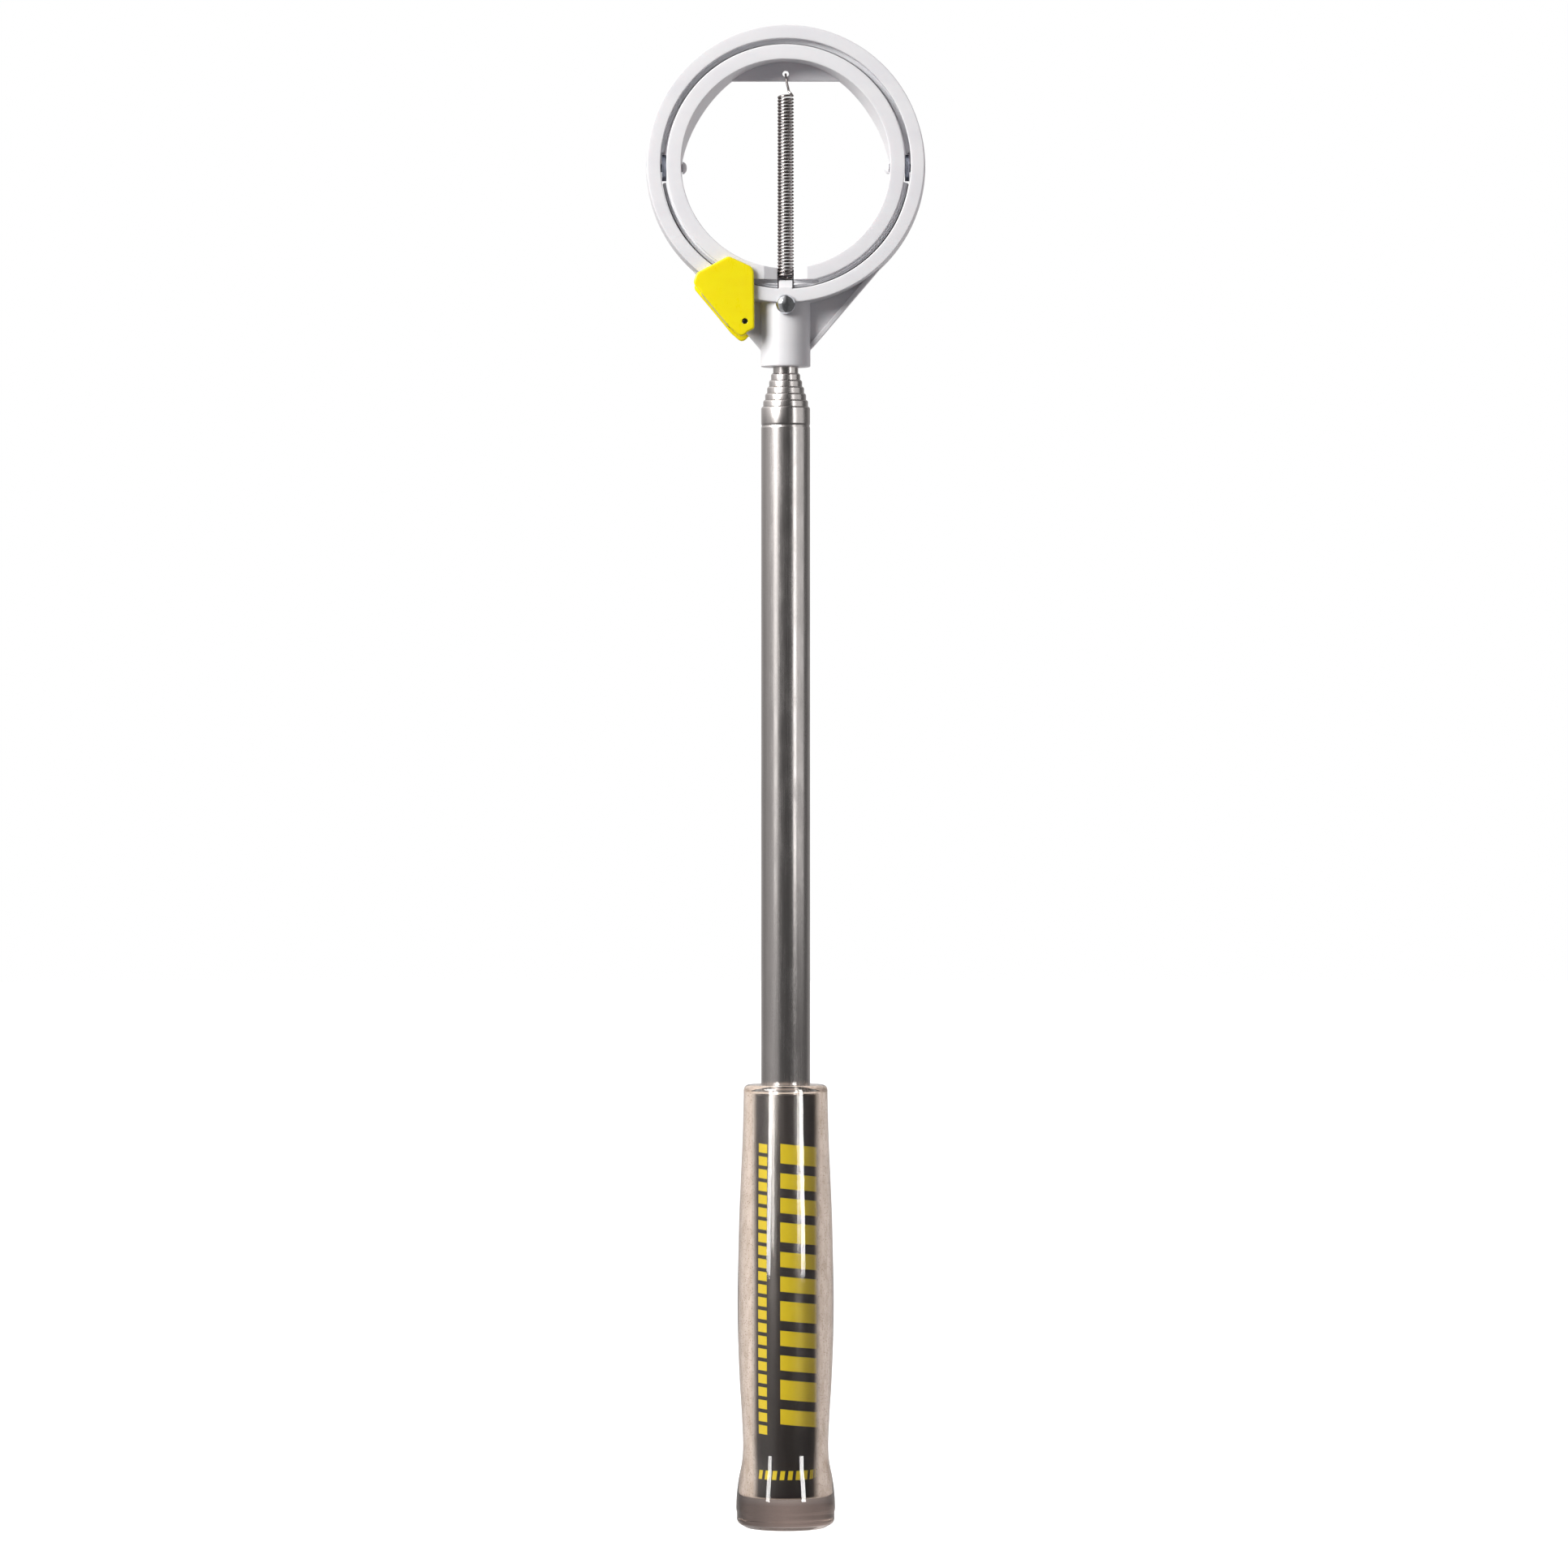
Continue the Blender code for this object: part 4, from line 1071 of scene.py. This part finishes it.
def build_fasteners():
    """Head rivet, the two ring pins with their washers, and the latch pin."""
    low, high = box_mm("head_rivet")
    seat = FRONT + RIVET_SEAT
    rivet = dome(RIVET_SHANK, seat + high.y, high.x, -low.y - seat)
    obj = piece("head_rivet_dome", shifted(rivet, 0, RIVET_Y, seat), HEAD)
    done(obj, CHROME, "head", "chromed_steel", "head_rivet")
    for side, word in ((-1, "left"), (1, "right")):
        low, high = box_mm(f"ring_pin_{word}")
        near, far = sorted((abs(low.x), abs(high.x)))
        seat = near + PIN_HEAD
        pin = dome(PIN_SHANK, far - seat, (high.z - low.z) / 2, PIN_HEAD)
        obj = piece(f"ring_pin_{word}_dome", on_hinge(pin, -side, side * seat), HEAD)
        done(obj, WHITE, "head", "white_plastic", f"ring_pin_{word}")
        low, high = box_mm(f"pivot_washer_{word}")
        near, far = sorted((abs(low.x), abs(high.x)))
        radius = (high.z - low.z) / 2
        profile = rounded([(PIVOT_BORE, near, 0.1), (radius, near, 0.15), (radius, far, 0.15),
                           (PIVOT_BORE, far, 0.1)], 3)
        washer = on_hinge(turned(profile, 64), side)
        obj = piece(f"pivot_washer_{word}_plated", washer, HEAD)
        done(obj, ZINC, "head", "zinc_steel", f"pivot_washer_{word}")
    low, high = box_mm("latch_pin")
    pin = shifted(rod(LATCH_PIN_RADIUS, -high.y, -low.y, 0.15, 32), *LATCH_PIVOT)
    # The latch pin gets the near black finish: painted shade of a deep hole.
    done(piece("latch_pin_turned", pin, HEAD), PAINTED_HOLE_SHADE, "head", "zinc_steel", "latch_pin")


def build_latch():
    """Yellow side latch: two rounded cheeks, the rear one lower, and a bridge outside the web."""
    outline = rounded(LATCH_CORNERS, 6)
    behind = [corner - Vector((0, REAR_CHEEK_DROP)) for corner in outline]
    obj = piece("latch_moulding", slab(behind, LATCH_REAR, LATCH_REAR + CHEEK, 0.4), HEAD)
    # The bridge follows the latch's outer edge, between the third and fourth corners
    low, high = Vector(LATCH_CORNERS[3][:2]), Vector(LATCH_CORNERS[2][:2])
    along = (high - low).normalized()
    foot = low - along * low.dot(along)
    inner, outer = foot * (BRIDGE_IN / foot.length), foot * (BRIDGE_OUT / foot.length)
    start = LATCH_PIVOT.dot(along) + BRIDGE_START
    end = LATCH_PIVOT.dot(along) + BRIDGE_END
    bridge = [inner + along * start, outer + along * start, outer + along * end,
              inner + along * end]
    bridge = rounded([(*corner, 0.4) for corner in bridge], 3)
    relief = rod(LATCH_RELIEF, LATCH_REAR - CHEEK, LATCH_REAR + CHEEK + LATCH_RELIEF_FRONT, 0,
                 RING_SEGMENTS)
    hole = rod(LATCH_HOLE, LATCH_REAR - OVERSHOOT, LATCH_FRONT + OVERSHOOT, 0, 32)
    carve(obj, [
        ("DIFFERENCE", relief),
        ("UNION", slab(bridge, LATCH_REAR, LATCH_FRONT, 0.3)),
        ("UNION", slab(outline, LATCH_FRONT - CHEEK, LATCH_FRONT, 0.55, 5)),
        ("DIFFERENCE", shifted(hole, *LATCH_PIVOT)),
    ])
    done(obj, YELLOW, "latch", "yellow_plastic", "latch")


TURNS = 55
COIL_RADIUS = 2.04
WIRE_RADIUS = 0.33
COIL_FOOT = Vector((0, -32.9, 4.6))
COIL_TOP = Vector((0, 20.2, 0.5))
STEPS_PER_TURN = 24
# The lower hook leaves its hole in the stub at the hole's depth, the upper one ends in the plate
FOOT_HOOK = ((0, -35.6), (0, -33.95), (1.0, -33.5))
TOP_HOOK = (
    (1.6, 20.8, 0.6), (1.0, 21.5, 0.3), (0.65, 22.9, -0.5), (0.3, 24.5, -1.1),
    (0.08, 25.9, -1.5), (0, 26.7, -2.4), (0, 26.9, -4.7),
)
HOOK_STEPS = 8


def build_spring():
    """Close coil with a hook in the stub below and one through the ring's plate above."""
    along = (COIL_TOP - COIL_FOOT).normalized()
    side = Vector((1, 0, 0))
    other = along.cross(side)
    coil = []
    steps = TURNS * STEPS_PER_TURN
    for step in range(steps + 1):
        angle = math.tau * step / STEPS_PER_TURN
        centre = COIL_FOOT.lerp(COIL_TOP, step / steps)
        coil.append(centre + COIL_RADIUS * (side * math.cos(angle) + other * math.sin(angle)))
    foot = curve_through([*((x, y, SPRING_FOOT.z) for x, y in FOOT_HOOK), coil[0]], HOOK_STEPS)
    top = curve_through([coil[-1], *TOP_HOOK], HOOK_STEPS)
    obj = wire("spring_coil", foot[:-1] + coil[:-1] + top, WIRE_RADIUS)
    done(obj, SPRING_STEEL, "spring", "spring_steel", "ring_spring")
    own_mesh(obj)


# --- Studio ---

# Brightness that glossy surfaces mirror, by azimuth: 0 straight ahead of the head, + right
STUDIO_LEVELS = (
    (-180, 0.6), (-150, 0.42), (-122, 0.26), (-90, 0.36), (-66, 0.42), (-40, 0.3),
    (-22, 0.09), (12, 0.07), (36, 0.1), (74, 0.12), (110, 0.12), (150, 0.35), (180, 0.6),
)
STUDIO_TINT = (1, 0.97, 0.955, 1)
# Extra brightness above, from none at the right to full at the left
OVERHEAD = 1.2
OVERHEAD_SLOPE = -1.4
OVERHEAD_MIDDLE = 0.15
FRONT_FILL = 0.08
SIDE_FILL = 0.35
BACK_FILL = 1.0
FILL_TINT = (1, 0.96, 0.98, 1)
PURE_WHITE = (1, 1, 1, 1)
LAMP_TINT = (1, 0.985, 0.97)
AIM_HEIGHT = 0.9
KEY_POWER = 34.0
KEY_AIM = Vector((-0.69, -0.58, 0.43)).normalized()
KEY_SIZE = 0.9
STRIP_SPAN = (0.04, 1.3)
# Name, azimuth, width and radiance of each tall strip, and the pieces that it lights
STRIPS = (
    ("glint_left", -42, 0.26, 18.0, ("grip_shell",)),
    ("glint_right", 43, 0.28, 22.0, ("grip_shell",)),
    ("sheen_left", -48, 0.5, 1.0, ("drawn", "spring_coil")),
    ("sheen_right", 43, 0.3, 2.4, ("drawn",)),
    ("sheen_side", 68, 1.5, 0.62, ("drawn",)),
)
LAMP_DISTANCE = 1.5
FLOOR_RADIUS = 6000
FLOOR_DROP = 0.2
FLOOR_GLOW = 0.95
# Camera: picture height and eye position as shares of the object's height, distance in metres
VIEW_HEIGHT = 1.0441
EYE_X = -0.0011
EYE_Z = 0.495
CAMERA_DISTANCE = 2.16
SENSOR = 36
CLIP_START = 0.05


def build_world():
    """White to the camera, a studio for mirrors and a soft fill for matt surfaces."""
    world = bpy.data.worlds.new("studio")
    bpy.context.scene.world = world
    world.use_nodes = True
    world.node_tree.nodes.clear()
    nodes = Nodes(world.node_tree)
    calc = nodes.math
    split = nodes.node("ShaderNodeSeparateXYZ")
    nodes.feed(nodes.node("ShaderNodeTexCoord").outputs["Generated"], split.inputs["Vector"])
    x, y, z = split.outputs
    azimuth = calc("ARCTAN2", x, calc("MULTIPLY", y, -1.0))
    turn = calc("DIVIDE", azimuth, math.tau)
    ramp = nodes.node("ShaderNodeValToRGB")
    ramp.color_ramp.interpolation = "EASE"
    elements = ramp.color_ramp.elements
    while len(elements) < len(STUDIO_LEVELS):
        elements.new(0.5)
    for element, (angle, value) in zip(elements, STUDIO_LEVELS):
        element.position = (angle + 180) / 360
        element.color = (value, value, value, 1)
    nodes.feed(calc("ADD", turn, 0.5), ramp.inputs["Fac"])
    leftness = calc("MULTIPLY_ADD", x, OVERHEAD_SLOPE, OVERHEAD_MIDDLE)
    leftness = calc("MAXIMUM", leftness, 0.0)
    overhead = calc("MULTIPLY", calc("MAXIMUM", z, 0.0), leftness)
    overhead = calc("MULTIPLY", overhead, OVERHEAD)
    mirrored = calc("ADD", ramp.outputs["Color"], overhead)
    fill = calc("MULTIPLY_ADD", calc("MAXIMUM", x, 0.0), SIDE_FILL, FRONT_FILL)
    fill = calc("MULTIPLY_ADD", calc("MAXIMUM", y, 0.0), BACK_FILL, fill)
    path = nodes.node("ShaderNodeLightPath")
    shades = []
    for level, tint in ((mirrored, STUDIO_TINT), (fill, FILL_TINT), (1.0, PURE_WHITE)):
        shade = nodes.node("ShaderNodeBackground")
        nodes.put(tint, shade.inputs["Color"])
        nodes.put(level, shade.inputs["Strength"])
        shades.append(shade.outputs["Background"])
    mixed = nodes.mix_shaders(path.outputs["Is Diffuse Ray"], *shades[:2])
    mixed = nodes.mix_shaders(path.outputs["Is Camera Ray"], mixed, shades[2])
    nodes.feed(mixed, nodes.node("ShaderNodeOutputWorld").inputs["Surface"])
    world.cycles.sampling_method = "NONE"


def area_light(name, place, target, size, energy, tall=None):
    light = bpy.data.lights.new(name, "AREA")
    light.shape = "RECTANGLE" if tall else "DISK"
    light.size = size
    if tall:
        light.size_y = tall
    light.energy = energy
    light.color = LAMP_TINT
    obj = linked(name, light)
    obj.location = place
    obj.rotation_euler = (place - target).to_track_quat("Z", "Y").to_euler()
    return obj


def build_lights():
    """A key from the upper left, and tall strips that only glint in the pieces they name."""
    target = Vector((0, 0, CENTRE_Z * MM * AIM_HEIGHT))
    area_light("key", target + KEY_AIM * LAMP_DISTANCE, target, KEY_SIZE, KEY_POWER)
    low, high = STRIP_SPAN
    height = (low + high) / 2
    for name, azimuth, width, radiance, words in STRIPS:
        angle = math.radians(azimuth)
        place = Vector((math.sin(angle), -math.cos(angle), 0)) * LAMP_DISTANCE
        place.z = height
        power = radiance * math.pi * width * (high - low)
        strip = area_light(name, place, Vector((0, 0, height)), width, power, high - low)
        lit = bpy.data.collections.new(name)
        for obj in bpy.data.objects:
            if obj.type == "MESH" and obj.name.endswith(words):
                lit.objects.link(obj)
        strip.light_linking.receiver_collection = lit


def build_floor():
    """Pale floor that mirrors nothing and takes a soft contact shadow."""
    bm = bmesh.new()
    bmesh.ops.create_circle(bm, cap_ends=True, segments=96, radius=FLOOR_RADIUS)
    obj = piece("floor", shifted(bm, z=-FLOOR_DROP))
    finish = Finish("floor_pale", (0.4, 0.4, 0.4), 0.9)
    glow = finish.node("ShaderNodeEmission")
    glow.inputs["Color"].default_value = (1, 1, 0.995, 1)
    glow.inputs["Strength"].default_value = FLOOR_GLOW
    add = finish.node("ShaderNodeAddShader")
    finish.feed(finish.shader.outputs["BSDF"], add.inputs[0])
    finish.feed(glow.outputs["Emission"], add.inputs[1])
    clear = finish.node("ShaderNodeBsdfTransparent")
    path = finish.node("ShaderNodeLightPath")
    unseen = finish.math("SUBTRACT", 1.0, path.outputs["Is Camera Ray"])
    mixed = finish.mix_shaders(unseen, add.outputs["Shader"], clear.outputs["BSDF"])
    finish.feed(mixed, finish.output.inputs["Surface"])
    obj.data.materials.append(finish.material)


def build_camera():
    """Long lens straight at the front of the head."""
    tall = CAD_HIGH.z - CAD_LOW.z
    data = bpy.data.cameras.new("camera")
    data.sensor_width = SENSOR
    data.lens = SENSOR * CAMERA_DISTANCE / (VIEW_HEIGHT * tall)
    data.clip_start = CLIP_START
    obj = linked("camera", data)
    obj.location = (EYE_X * tall, -CAMERA_DISTANCE, EYE_Z * tall)
    obj.rotation_euler = (math.pi / 2, 0, 0)
    bpy.context.scene.camera = obj


def build():
    build_tubes()
    build_hidden()
    build_grip()
    build_print()
    build_frame()
    build_ring()
    build_fasteners()
    build_latch()
    build_spring()
    build_world()
    build_lights()
    build_floor()
    build_camera()
    bpy.context.scene.view_settings.view_transform = "Standard"


build()
